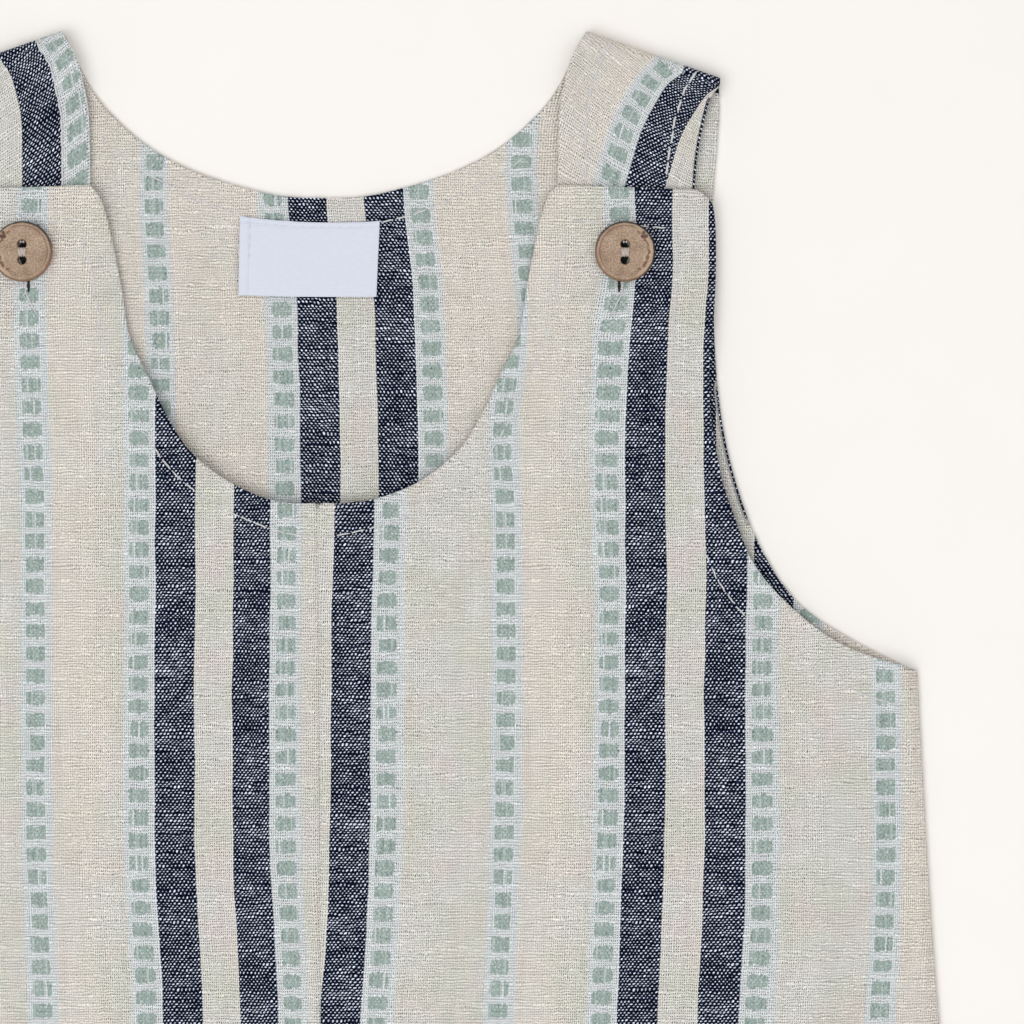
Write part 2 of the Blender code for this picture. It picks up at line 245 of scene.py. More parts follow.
# How far the stripes wander from straight, to the viewer's right: a row for each depth down
# the panel, a column for each x
FRONT_LEFT_SWAY_X = (10.0, 40.0, 59.0, 66.0, 86.0, 98.0)
FRONT_LEFT_SWAY = [
    (34.0, 1.5, 1.5, 2.2, 2.3, 1.9, 1.9),
    (42.0, 1.5, 1.5, 2.3, 2.5, 0.6, 0.6),
    (51.0, 1.5, 1.5, 2.9, 3.2, 1.9, 1.9),
    (59.0, 1.5, 1.8, 0.9, 2.3, 0.8, 0.8),
    (68.0, 1.5, 2.0, -0.2, 1.2, 0.2, 0.2),
    (77.0, 1.7, 0.6, -0.3, 0.8, 0.3, 0.5),
    (88.0, 1.8, -0.9, -0.9, 0.2, 0.3, 0.8),
    (105.0, 1.9, 0.1, -0.6, 0.3, 0.6, 1.2),
    (112.0, 2.0, 0.2, -0.1, 0.4, 1.0, 1.3),
    (121.0, 1.4, 0.2, 0.3, 0.3, 1.0, 1.3),
    (136.0, 1.2, 0.2, 0.2, 0.2, 0.6, 1.0),
    (147.0, 1.1, 0.2, 0.2, 0.2, 0.5, 1.0),
    (160.0, 1.1, 0.0, 0.1, 0.1, 0.5, 1.0),
    (173.0, 1.1, 0.0, 0.1, 0.1, 0.7, 1.2),
    (187.0, 0.6, -0.6, -0.5, -0.5, 0.4, 1.0),
    (200.0, 0.2, -0.9, -0.9, -0.9, 0.0, 0.8),
    (216.0, -1.2, -1.7, -1.7, -1.7, -1.0, -0.4),
    (260.0, -1.6, -1.8, -1.3, -1.2, -1.2, -0.8),
    (330.0, 0.4, -0.2, 0.5, 0.6, 0.4, 0.6),
    (420.0, 1.8, 1.4, 2.1, 2.2, 1.8, 2.2),
]
FRONT_RIGHT_SWAY_X = (-86.0, -20.5, -12.0, -7.5, -3.0)
FRONT_RIGHT_SWAY = [
    (34.0, -1.0, 0.6, -0.05, 0.2, -0.8),
    (60.0, -2.2, 0.6, -0.05, 0.2, -0.8),
    (105.0, -0.2, 0.4, -0.25, 0.0, -1.0),
    (147.0, 0.0, 0.0, -0.65, -0.4, -1.4),
    (185.0, 0.3, 0.2, -0.45, -0.2, -1.2),
    (200.0, 1.0, 1.2, 0.55, 0.8, -0.2),
    (216.0, 1.6, 2.0, 1.35, 1.6, 0.6),
    (260.0, 1.8, 2.2, 1.55, 1.8, 0.8),
    (330.0, 0.2, 0.4, -0.25, 0.0, -1.0),
    (420.0, -1.2, -1.6, -1.93, -1.8, -2.3),
]
BACK_SWAY_X = (-60.0, 10.0, 43.0, 58.0, 87.0)
BACK_SWAY = [
    (0.0, -1.0, -3.2, -3.2, 3.6, 2.2),
    (10.0, -1.0, -3.2, -3.4, 2.0, 1.6),
    (25.0, -1.0, -3.2, -3.6, -1.2, -1.2),
    (36.0, -1.4, -3.6, -3.6, -2.0, -1.4),
    (47.0, -1.0, -2.0, -2.7, -2.0, -1.0),
    (59.0, -0.4, -0.9, -1.4, -1.2, 0.4),
    (77.0, -0.2, -0.4, -0.4, -0.2, 0.0),
    (90.0, 0.0, 0.0, 0.0, 0.0, 0.0),
    (420.0, 0.0, 0.0, 0.0, 0.0, 0.0),
]
# A thin line of the next navy stripe shows along the folded strap's outer edge, and where the
# back's armhole edge rolls over on the wearer's left: both lie at this place across the cloth
EDGE_CLOTH = 21.5
STRAP_EDGE_LINE = 0.5
STRAP_EDGE_START = 5.0
EDGE_ROLL = 0.6
EDGE_ROLL_TOP = 79.0
EDGE_ROLL_FOOT = 108.0
# Where the turned armhole hem of the back ends: past its stitches, at a depth, and below the
# fold, each with the width of its step
TURNED_EDGE = (0.2, 0.5)
TURNED_FOOT = (60.0, 10.0)
TURNED_TOP = (0.5, 1.5)
# On the folded strap: depth along it, the cloth's place at its left edge, and the slope of the
# weft over it
FLAP_CLOTH = [(0.0, 49.1, 0.80), (16.0, 44.1, 0.66), (33.0, 39.2, 0.46), (58.0, 38.1, 0.2)]

# ---------------------------------------------------------------- rows of points
CROTCH_ROW = 2  # number of the section there, from 0 at the leg hem
UNDERARM_ROW = len(TRUNK) - 1
FRONT_NECK_ROW = len(TRUNK) + 3
BACK_NECK_ROW = len(TRUNK) + 6
FRONT_STEP = 1.7  # longest cell down a front
BACK_STEP = 2.0
STRAP_STEP = 1.5
ROLL_STEPS = 20
LINE_STEP = 1.0  # between the points of an edge's line
NEAR_START = (0.2, 0.5, 0.9)  # extra rows, this far from a panel's first one
NEAR_END = (0.5, 0.2)
EDGE_CELL = 0.25  # width of the cells along a side edge
CELL_GROWTH = 1.18  # how much wider each next cell is

# ---------------------------------------------------------------- sewing
ARMHOLE_HEM = 8.5
NECK_HEM = 7.2  # at the centre seam
NECK_HEM_SIDE = 5.8
NECK_HEM_BLEND = 14.0  # along the neckline
STRAP_END_HEM = 8.0
BACK_NECK_HEM = 6.2  # behind the label
BACK_NECK_HEM_SIDE = 5.0
BACK_NECK_HEM_BLEND = (15.0, 22.0)  # from how far beside the middle, and over what distance
FLAP_HEM = 6.1
LEG_HEM = 14.0
SIDE_WRAP = 2.6  # how far the front turns down to the side seam
SIDE_SEAM_Z = 0.75  # height of the front's cloth there
BACK_TUCK = 1.0  # how far the back's side edge lies in from the front's
TUCK_BLEND = 0.4  # of a section, over which the tuck ends
# How a front's edge stands off the back, and over what distance from the edge it comes down
Lift = namedtuple("Lift", "edge height reach")
LIFTS = (Lift("neck", 0.6, 8.0), Lift("armhole", 1.0, 12.0))
LIFT_TOP = 60.0  # above this depth the strap holds the edges down
LIFT_BLEND = 30.0
FRONT_REST = 0.15  # how far the fronts lie above their solids' middle
BACK_REST = -0.1
# The pressed-open centre seam: a groove along the top of a low ridge, its folded-back edges, and
# how it puckers
SEAM_RIDGE = (0.25, 6.0)  # height and half width
SEAM_GROOVE = (0.6, 0.6)
SEAM_ALLOWANCE = (0.16, 7.0, 1.2)  # height, half width, and the width of its step
SEAM_PUCKER = (0.05, 3.0)
ROLL_NARROWING = 0.035  # how much narrower the strap is where it rolls over
FLAP_FADE = 6.0  # the folded strap's relief sets in over this distance from the fold
FLAP_SWELL = 0.25  # a soft roll along the strap, where its hems pull
FLAP_SWELL_END = (18.0, 14.0)  # where it starts to fade, and over what distance
# A stitch's length, the distance to the next one, its thread's radius, and how far it lies down
# among the threads of the cloth
Stitch = namedtuple("Stitch", "length pitch radius sink")
HEM_STITCH = Stitch(3.4, 3.55, 0.19, 0.06)
STRAP_STITCH = Stitch(3.2, 3.45, 0.24, 0.0)
LABEL_STITCH = Stitch(1.5, 2.1, 0.1, 0.05)

# ---------------------------------------------------------------- label and buttons
LABEL_LENGTH = 30.8
LABEL_WIDTH = 17.0
LABEL_CORNERS = ((-18.85, 58.28), (11.46, 58.61), (-18.52, 40.92), (12.21, 41.98))
LABEL_SHEET = 0.4
LABEL_Z = 1.45
LABEL_TOP_SEAM = 1.1  # in from its edge
LABEL_SIDE_SEAM = 2.15
LABEL_TOP_SAG = 0.8
LABEL_FOOT_SAG = 0.15
BUTTON_PLACE = (66.2, 48.8)
BUTTON_DIAMETER = 13.3
BUTTON_RIM = 6.15  # radius where the face ends and the dark side of the shell begins
BUTTON_HOLES = (-1.9, 1.55)  # how far the two holes are above the middle
BUTTON_STRANDS = 5
STRAND_PITCH = 0.31
STRAND_RADIUS = 0.25
SLIT_X = 64.9
SLIT_TOP = 42.0
SLIT_BOTTOM = 57.9
BAR_PITCH = 0.36  # of the stitches along the buttonhole
BAR_RADIUS = 0.14
LOOSE_RADIUS = 0.15
LOOSE_THREADS = (
    ((65.5, 54.0), (65.6, 57.8), (64.5, 60.0), (63.0, 63.0)),
    ((65.4, 57.6), (66.6, 58.9)),
)


def place(x, down, z):
    """A place on the garment as a point of the scene."""
    return Vector((x, LENGTH / 2 - down, z)) * MM


def points_at(x, down, z):
    """Places on the garment as points of the scene, still in millimetres."""
    return np.stack([x, LENGTH / 2 - down, z], axis=-1)


def ease(value):
    value = np.clip(value, 0.0, 1.0)
    return value * value * (3.0 - 2.0 * value)


def bell(value, width):
    return np.exp(-((value / width) ** 2))


# ---------------------------------------------------------------- sheets through sections
def smooth_curve(points, corners, spots):
    """Points of a smooth curve at spots, each counted in given points from the start."""
    points = [np.array(p) for p in points]
    curve = []
    for spot in spots:
        index = min(int(spot), len(points) - 2)
        share = spot - index
        start, end = points[index], points[index + 1]
        leaving = arriving = end - start
        if index > 0 and index not in corners:
            leaving = (end - points[index - 1]) / 2
        if index + 2 < len(points) and index + 1 not in corners:
            arriving = (points[index + 2] - start) / 2
        limit = 1.5 * np.linalg.norm(end - start)
        leaving = leaving * min(1.0, limit / max(np.linalg.norm(leaving), 1e-9))
        arriving = arriving * min(1.0, limit / max(np.linalg.norm(arriving), 1e-9))
        square, cube = share**2, share**3
        curve.append(
            start * (2 * cube - 3 * square + 1)
            + leaving * (cube - 2 * square + share)
            + end * (3 * square - 2 * cube)
            + arriving * (cube - square)
        )
    return np.array(curve)


def row_spots(sections, step, fine_start=False, fine_end=False):
    """Where the rows of a sheet lie, counted in sections, closer together at a fine end."""
    spots = []
    for index in range(len(sections) - 1):
        here, there = sections[index], sections[index + 1]
        longest = max(math.dist(here[0:2], there[0:2]), math.dist(here[2:4], there[2:4]))
        cells = max(1, math.ceil(longest / step))
        shares = [cell / cells for cell in range(cells)]
        if fine_start and index == 0:
            shares = [0.0] + [near / longest for near in NEAR_START] + shares[1:]
        if fine_end and index == len(sections) - 2:
            shares = shares + [1.0 - near / longest for near in NEAR_END]
        spots += [index + share for share in shares]
    spots.append(len(sections) - 1.0)
    return spots


def edges_of(sections, spots):
    """Inner edge, outer edge and rise of a sheet at its rows."""
    inner = [s[0:2] for s in sections]
    outer = [s[2:4] for s in sections]
    inner_corners = {i for i, s in enumerate(sections) if s.corner == "inner"}
    outer_corners = {i for i, s in enumerate(sections) if s.corner == "outer"}
    rises = []
    for spot in spots:
        index = min(int(spot), len(sections) - 2)
        low, high = sections[index].rise, sections[index + 1].rise
        rises.append(low + (high - low) * float(ease(spot - index)))
    return (
        smooth_curve(inner, inner_corners, spots),
        smooth_curve(outer, outer_corners, spots),
        np.array(rises),
    )


def column_shares(fine, coarse, width):
    """Shares across a row, from its inner to its outer edge, close together near both."""
    near = []
    reach, cell = 0.0, EDGE_CELL
    while reach < fine:
        near.append(reach / width)
        reach += cell
        cell = min(cell * CELL_GROWTH, coarse)
    middle = np.linspace(near[-1], 1.0 - near[-1], math.ceil((width - 2 * reach) / coarse))
    return np.concatenate([near[:-1], middle, 1.0 - np.array(near[-2::-1])])


def distance_to(line, x, down):
    """Distance of points from a line through points, and how far along it they lie."""
    best = np.full(x.shape, 1e9)
    along = np.zeros(x.shape)
    run = 0.0
    for start, end in zip(line, line[1:]):
        span = end - start
        length = math.hypot(*span)
        if length < 1e-9:
            continue
        share = ((x - start[0]) * span[0] + (down - start[1]) * span[1]) / length**2
        share = np.clip(share, 0.0, 1.0)
        gap = np.hypot(x - start[0] - share * span[0], down - start[1] - share * span[1])
        closer = gap < best
        best = np.where(closer, gap, best)
        along = np.where(closer, run + share * length, along)
        run += length
    return best, along


def hem_relief(distance, along, stitch, thick=0.22, pucker=0.12, dip=0.2):
    """How a turned and stitched edge stands up from the cloth beside it."""
    past_stitch, turned_blend, groove_width, held_width = 1.0, 0.9, 0.55, 2.6
    rounding, rounded_width = 0.3, 0.55
    turned = thick * (1.0 - ease((distance - stitch - past_stitch) / turned_blend))
    groove = dip * bell(distance - stitch, groove_width)
    held = bell(distance - stitch, held_width)
    wave = np.sin(along * 1.37 + 1.9 * np.sin(along * 0.31)) * held * pucker
    rounded = rounding * (1.0 - ease(distance / rounded_width))
    return turned - groove + wave - rounded


def neck_hem(along):
    """Depth of the front's neck hem at a distance along it from the centre seam."""
    return NECK_HEM + (NECK_HEM_SIDE - NECK_HEM) * ease(along / NECK_HEM_BLEND)


def back_neck_hem(x):
    start, blend = BACK_NECK_HEM_BLEND
    return BACK_NECK_HEM + (BACK_NECK_HEM_SIDE - BACK_NECK_HEM) * ease((np.abs(x) - start) / blend)


def table_value(table, columns, x, down):
    """A table's value at points, eased from row to row and from column to column."""
    rows = np.array(table)
    shifts = (-6, -3, 0, 3, 6)  # straight lines between the rows, taken together at these depths
    values = []
    for i in range(1, rows.shape[1]):
        near = sum(np.interp(down + shift, rows[:, 0], rows[:, i]) for shift in shifts)
        values.append(near / len(shifts))
    total = values[0]
    for i in range(1, len(columns)):
        share = ease((x - columns[i - 1]) / (columns[i] - columns[i - 1]))
        total = total + (values[i] - values[i - 1]) * share
    return total


def add_piece(name, mesh, material):
    mesh.materials.append(material)
    piece = bpy.data.objects.new(name, mesh)
    bpy.context.scene.collection.objects.link(piece)
    return piece


def sheet_object(name, grids, cloth_grids, material, flip=False):
    """A cloth piece through grids of points, with each point's place in the woven cloth."""
    builder = bmesh.new()
    for points in grids:
        rows, columns = points.shape[:2]
        verts = [[builder.verts.new(point * MM) for point in row] for row in points]
        for r in range(rows - 1):
            for c in range(columns - 1):
                here = Vector(points[r, c])
                area = (Vector(points[r, c + 1]) - here).cross(Vector(points[r + 1, c]) - here)
                if area.length < 1e-9:
                    continue
                face = (verts[r][c], verts[r][c + 1], verts[r + 1][c + 1], verts[r + 1][c])
                builder.faces.new(face)
    mesh = bpy.data.meshes.new(name)
    builder.to_mesh(mesh)
    builder.free()
    values = np.concatenate([cloth.reshape(-1, 2) for cloth in cloth_grids])
    attribute = mesh.attributes.new("cloth", "FLOAT_VECTOR", "POINT")
    attribute.data.foreach_set("vector", np.column_stack([values, np.zeros(len(values))]).ravel())
    if flip:
        mesh.flip_normals()
    mesh.shade_smooth()
    return add_piece(name, mesh, material)


def give_thickness(piece, thickness=SHEET, even=False):
    """Turns a sheet into a closed thin wall. Even keeps its thickness where it curves tightly."""
    wall = piece.modifiers.new("Wall", "SOLIDIFY")
    wall.thickness = thickness * MM
    wall.offset = 0.0
    wall.use_even_offset = even
    apply_modifiers(piece)


def apply_modifiers(piece):
    evaluated = piece.evaluated_get(bpy.context.evaluated_depsgraph_get())
    mesh = bpy.data.meshes.new_from_object(evaluated)
    old = piece.data
    piece.modifiers.clear()
    piece.data = mesh
    bpy.data.meshes.remove(old)


HIGH_ABOVE = 40.0


def surface_under(piece):
    """A search tree for the top of a piece."""
    tree_builder = bmesh.new()
    tree_builder.from_mesh(piece.data)
    tree = BVHTree.FromBMesh(tree_builder)
    tree_builder.free()
    return tree


def top_of(tree, x, down):
    """Height in millimetres of the top of a piece at a place, or of the bare wall beside it."""
    point = tree.ray_cast(place(x, down, HIGH_ABOVE), Vector((0.0, 0.0, -1.0)))[0]
    return point.z / MM if point else WALL


# ---------------------------------------------------------------- heights and panels
def ridge_height(x, down):
    total = np.zeros(x.shape)
    for ridge in RIDGES:
        along = np.clip((down - ridge.top) / (ridge.bottom - ridge.top), 0.0, 1.0)
        total = total + ridge.height * np.sin(math.pi * along) * bell(x - ridge.x, ridge.half_width)
    return total


def strap_lift(x, down):
    """How far a front is lifted by the folded strap under it."""
    end = FOLDED_STRAP[-1]
    side_reach, foot_reach = 1.0, 1.5
    beside = np.maximum(end.inner_x - side_reach - x, x - end.outer_x - side_reach)
    below = np.maximum(down - end.outer_down - foot_reach, 0.0)
    sideways = 1.0 - ease(np.maximum(beside, 0.0) / STRAP_END_SLOPE)
    return THIRD_LIFT * sideways * (1.0 - ease(below / STRAP_FOOT_SLOPE))


def seam_drift(inner):
    """How far the centre seam wanders from the middle, at points of an inner edge."""
    above = np.clip((CROTCH_DOWN - inner[:, 1]) / (CROTCH_DOWN - NECK_DOWN), 0.0, 1.0)
    return SEAM_DRIFT * above * np.clip(1.0 - inner[:, 0] / SEAM_BLEND, 0.0, 1.0)


def front_lines(side):
    """The edges of a front half as lines: neckline, strap end, armhole, side seam, leg hem."""
    sections = TRUNK + FRONT_YOKE
    spots = row_spots(sections, LINE_STEP)
    inner, outer, _ = edges_of(sections, spots)
    inner_x = side * np.maximum(inner[:, 0], SEAM_HALF_GAP) + seam_drift(inner)
    inner = np.column_stack([inner_x, inner[:, 1]])
    outer = np.column_stack([side * outer[:, 0], outer[:, 1]])
    spots = np.array(spots)
    return {
        "neck": inner[spots >= FRONT_NECK_ROW],
        "strap end": np.array([inner[-1], outer[-1]]),
        "armhole": outer[spots >= UNDERARM_ROW],
        "side": outer[spots <= UNDERARM_ROW],
        "hem": np.array([inner[0], outer[0]]),
        "inseam": inner[spots <= CROTCH_ROW],
        "seam": inner[(spots >= CROTCH_ROW) & (spots <= FRONT_NECK_ROW)],
    }


def make_front(name, side, stripe_x, sway, sway_x, material):
    sections = TRUNK + FRONT_YOKE
    spots = row_spots(sections, FRONT_STEP, fine_start=True, fine_end=True)
    inner, outer, rise = edges_of(sections, spots)
    start_x = side * np.maximum(inner[:, 0], SEAM_HALF_GAP) + seam_drift(inner)
    share = column_shares(fine=13.0, coarse=1.9, width=105.0)[None, :]
    x = start_x[:, None] + (side * outer[:, 0] - start_x)[:, None] * share
    down = inner[:, 1][:, None] + (outer[:, 1] - inner[:, 1])[:, None] * share
    raised = ease((1.0 - share) / EDGE_SHARE)
    z = SECOND_MIDDLE + (rise[:, None] + ridge_height(x, down)) * raised
    z = z + strap_lift(side * x, down) + FRONT_REST

    lines = front_lines(side)
    for edge, stitch in (
        ("neck", NECK_HEM),
        ("strap end", STRAP_END_HEM),
        ("armhole", ARMHOLE_HEM),
        ("hem", LEG_HEM),
    ):
        distance, along = distance_to(lines[edge], x, down)
        z = z + hem_relief(distance, along, neck_hem(along) if edge == "neck" else stitch)
    off_strap = ease((down - LIFT_TOP) / LIFT_BLEND)
    for lift in LIFTS:
        distance, _ = distance_to(lines[lift.edge], x, down)
        z = z + lift.height * off_strap * (1.0 - ease(distance / lift.reach))
    # the side seam and inseam turn down to the back
    for edge in ("side", "inseam"):
        distance, _ = distance_to(lines[edge], x, down)
        z = z + (SIDE_SEAM_Z - z) * (1.0 - ease(distance / SIDE_WRAP))
    distance, along = distance_to(lines["seam"], x, down)
    height, half_width = SEAM_RIDGE
    z = z + height * (1.0 - ease(distance / half_width))
    depth, half_width = SEAM_GROOVE
    z = z - depth * bell(distance, half_width)
    height, half_width, blend = SEAM_ALLOWANCE
    z = z + height * (1.0 - ease((distance - half_width) / blend))
    height, half_width = SEAM_PUCKER
    z = z + height * np.sin(along * 0.9 + np.sin(along * 0.23)) * bell(distance, half_width)

    across = x - stripe_x - table_value(sway, sway_x, x, down)
    cloth = np.stack([across, -down], axis=-1)
    piece = sheet_object(name, [points_at(x, down, z)], [cloth], material, flip=side < 0)
    give_thickness(piece)
    return piece


def back_half(side):
    """Points and cloth places of half of the back, up over the shoulder and down in front."""
    fold_inner, fold_outer = np.array(FOLD_INNER), np.array(FOLD_OUTER)
    along_fold = (fold_outer - fold_inner) / np.linalg.norm(fold_outer - fold_inner)
    outward = np.array([along_fold[1], -along_fold[0]])
    inset = outward * (ROLL_RADIUS + SHEET / 2)
    fold_inner, fold_outer = fold_inner - inset, fold_outer - inset
    fold_top = BACK_MIDDLE + 2 * ROLL_RADIUS
    at_fold = (*fold_inner, *fold_outer)
    lower = TRUNK + BACK_YOKE + [Section(*at_fold, 0.0)]
    upper = [Section(*at_fold, fold_top - SECOND_MIDDLE)] + FOLDED_STRAP
    share = column_shares(fine=11.0, coarse=2.2, width=90.0)[None, :]

    spots = row_spots(lower, BACK_STEP, fine_start=True)
    inner, outer, _ = edges_of(lower, spots)
    spots = np.array(spots)
    past_armpit = np.clip(UNDERARM_ROW + TUCK_BLEND - spots, 0.0, TUCK_BLEND) / TUCK_BLEND
    past_crotch = np.clip(CROTCH_ROW - spots, 0.0, TUCK_BLEND) / TUCK_BLEND
    start, end = inner.copy(), outer.copy()
    start[:, 0] += BACK_TUCK * past_crotch
    end[:, 0] -= BACK_TUCK * np.where(spots <= UNDERARM_ROW, 1.0, past_armpit)
    x = side * (start[:, :1] + (end[:, :1] - start[:, :1]) * share)
    down = start[:, 1:] + (end[:, 1:] - start[:, 1:]) * share
    z = np.full(x.shape, BACK_MIDDLE + BACK_REST)
    flip = np.array([side, 1.0])
    neckline, armhole = inner[spots >= BACK_NECK_ROW] * flip, outer[spots >= UNDERARM_ROW] * flip
    for line, stitch in ((neckline, back_neck_hem(x)), (armhole, ARMHOLE_HEM)):
        distance, along = distance_to(line, x, down)
        z = z + hem_relief(distance, along, stitch, thick=0.16, pucker=0.05, dip=0.12)
    z = np.maximum(z, SHEET / 2 + 0.01)
    across = BACK_STRIPE_X - x + table_value(BACK_SWAY, BACK_SWAY_X, x, down)
    # the armhole hem is turned to the inside, so its stripes run back from the edge
    distance, _ = distance_to(armhole, x, down)
    past_stitch, edge_blend = TURNED_EDGE
    foot, foot_blend = TURNED_FOOT
    below_fold, top_blend = TURNED_TOP
    turned = ease((ARMHOLE_HEM + past_stitch - distance) / edge_blend)
    turned = turned * ease((foot - down) / foot_blend)
    turned = turned * ease((down - fold_outer[1] - below_fold) / top_blend)
    across = across - side * 2.0 * distance * turned
    rolled = (distance < EDGE_ROLL) & (down > EDGE_ROLL_TOP) & (down < EDGE_ROLL_FOOT) & (side > 0)
    across = np.where(rolled, EDGE_CLOTH - distance, across)
    lower_cloth = np.stack([across, -down], axis=-1)
    lower_points = points_at(x, down, z)

    # the roll over the shoulder
    roll_points, roll_turn = [], []
    base_z = z[-1]
    for step in range(1, ROLL_STEPS):
        angle = math.pi * step / ROLL_STEPS
        out = outward * ROLL_RADIUS * math.sin(angle)
        # both ends of the roll are a little narrower where it is tightest
        drawn = 0.5 + (share[0] - 0.5) * (1.0 - ROLL_NARROWING * math.sin(angle) ** 2)
        roll_x = side * (fold_inner[0] + (fold_outer[0] - fold_inner[0]) * drawn + out[0])
        roll_down = fold_inner[1] + (fold_outer[1] - fold_inner[1]) * drawn + out[1]
        level = (1.0 - math.cos(angle)) / 2
        roll_z = base_z + (fold_top - base_z) * level
        roll_points.append(points_at(roll_x, roll_down, roll_z))
        roll_turn.append(angle * ROLL_RADIUS)

    # the strap in front
    spots = row_spots(upper, STRAP_STEP)
    inner, outer, rise = edges_of(upper, spots)
    x = side * (inner[:, :1] + (outer[:, :1] - inner[:, :1]) * share)
    down = inner[:, 1:] + (outer[:, 1:] - inner[:, 1:]) * share
    widths = np.linalg.norm(outer - inner, axis=1)[:, None]
    run = np.cumsum(np.r_[0.0, np.linalg.norm(np.diff((inner + outer) / 2, axis=0), axis=1)])
    fades = ease(run / FLAP_FADE)[:, None]
    z = SECOND_MIDDLE + rise[:, None]
    for distance in (share * widths, (1.0 - share) * widths):
        z = z + fades * hem_relief(distance, run[:, None], FLAP_HEM, dip=0.14, pucker=0.06)
    start, blend = FLAP_SWELL_END
    swell = FLAP_SWELL * np.sin(share * math.pi) * (1.0 - ease((run[:, None] - start) / blend))
    z = z + fades * swell
    flap_points = points_at(x, down, z)

    flap = np.array(FLAP_CLOTH)
    edge_place = np.interp(run, flap[:, 0], flap[:, 1])[:, None]
    slope = np.interp(run, flap[:, 0], flap[:, 2])[:, None]
    middle_x = (fold_inner[0] + fold_outer[0]) / 2
    fold_down = (fold_inner[1] + fold_outer[1]) / 2
    across = edge_place - share * widths
    along = (down - slope * (side * x - middle_x)) - 2 * fold_down + math.pi * ROLL_RADIUS
    peeking = ((1.0 - share) * widths < STRAP_EDGE_LINE) & (run[:, None] > STRAP_EDGE_START)
    across = np.where(peeking, EDGE_CLOTH - share * 0.3, across)
    flap_cloth = np.stack([across, along], axis=-1)
    if side < 0:
        # the other strap is cut from the mirrored place, so its stripes follow the back's
        flap_cloth[..., 0] = lower_cloth[-1, 0, 0] + (share * widths)
    roll_cloth = []
    for turn in roll_turn:
        part = turn / (math.pi * ROLL_RADIUS)
        low, high = lower_cloth[-1], flap_cloth[0]
        shift = round(float((low[:, 0] - high[:, 0]).mean()) / REPEAT) * REPEAT
        mixed = low[:, 0] + (high[:, 0] + shift - low[:, 0]) * part
        roll_cloth.append(np.stack([mixed, low[:, 1] + turn], axis=-1))
    shift = round(float((lower_cloth[-1, :, 0] - flap_cloth[0, :, 0]).mean()) / REPEAT) * REPEAT
    flap_cloth[..., 0] += shift

    points = np.concatenate([lower_points, np.array(roll_points), flap_points])
    cloth = np.concatenate([lower_cloth, np.array(roll_cloth), flap_cloth])
    return points, cloth


def make_back(material):
    """The back: two mirrored halves with their own cloth, welded along the middle."""
    left_points, left_cloth = back_half(1)
    right_points, right_cloth = (grid[:, ::-1] for grid in back_half(-1))
    grids, cloths = [left_points, right_points], [left_cloth, right_cloth]
    piece = sheet_object("back_cloth", grids, cloths, material)
    welder = bmesh.new()
    welder.from_mesh(piece.data)
    middle = [v for v in welder.verts if abs(v.co.x) < 1e-7]
    bmesh.ops.remove_doubles(welder, verts=middle, dist=1e-6)
    welder.to_mesh(piece.data)
    welder.free()
    give_thickness(piece, even=True)
    return piece


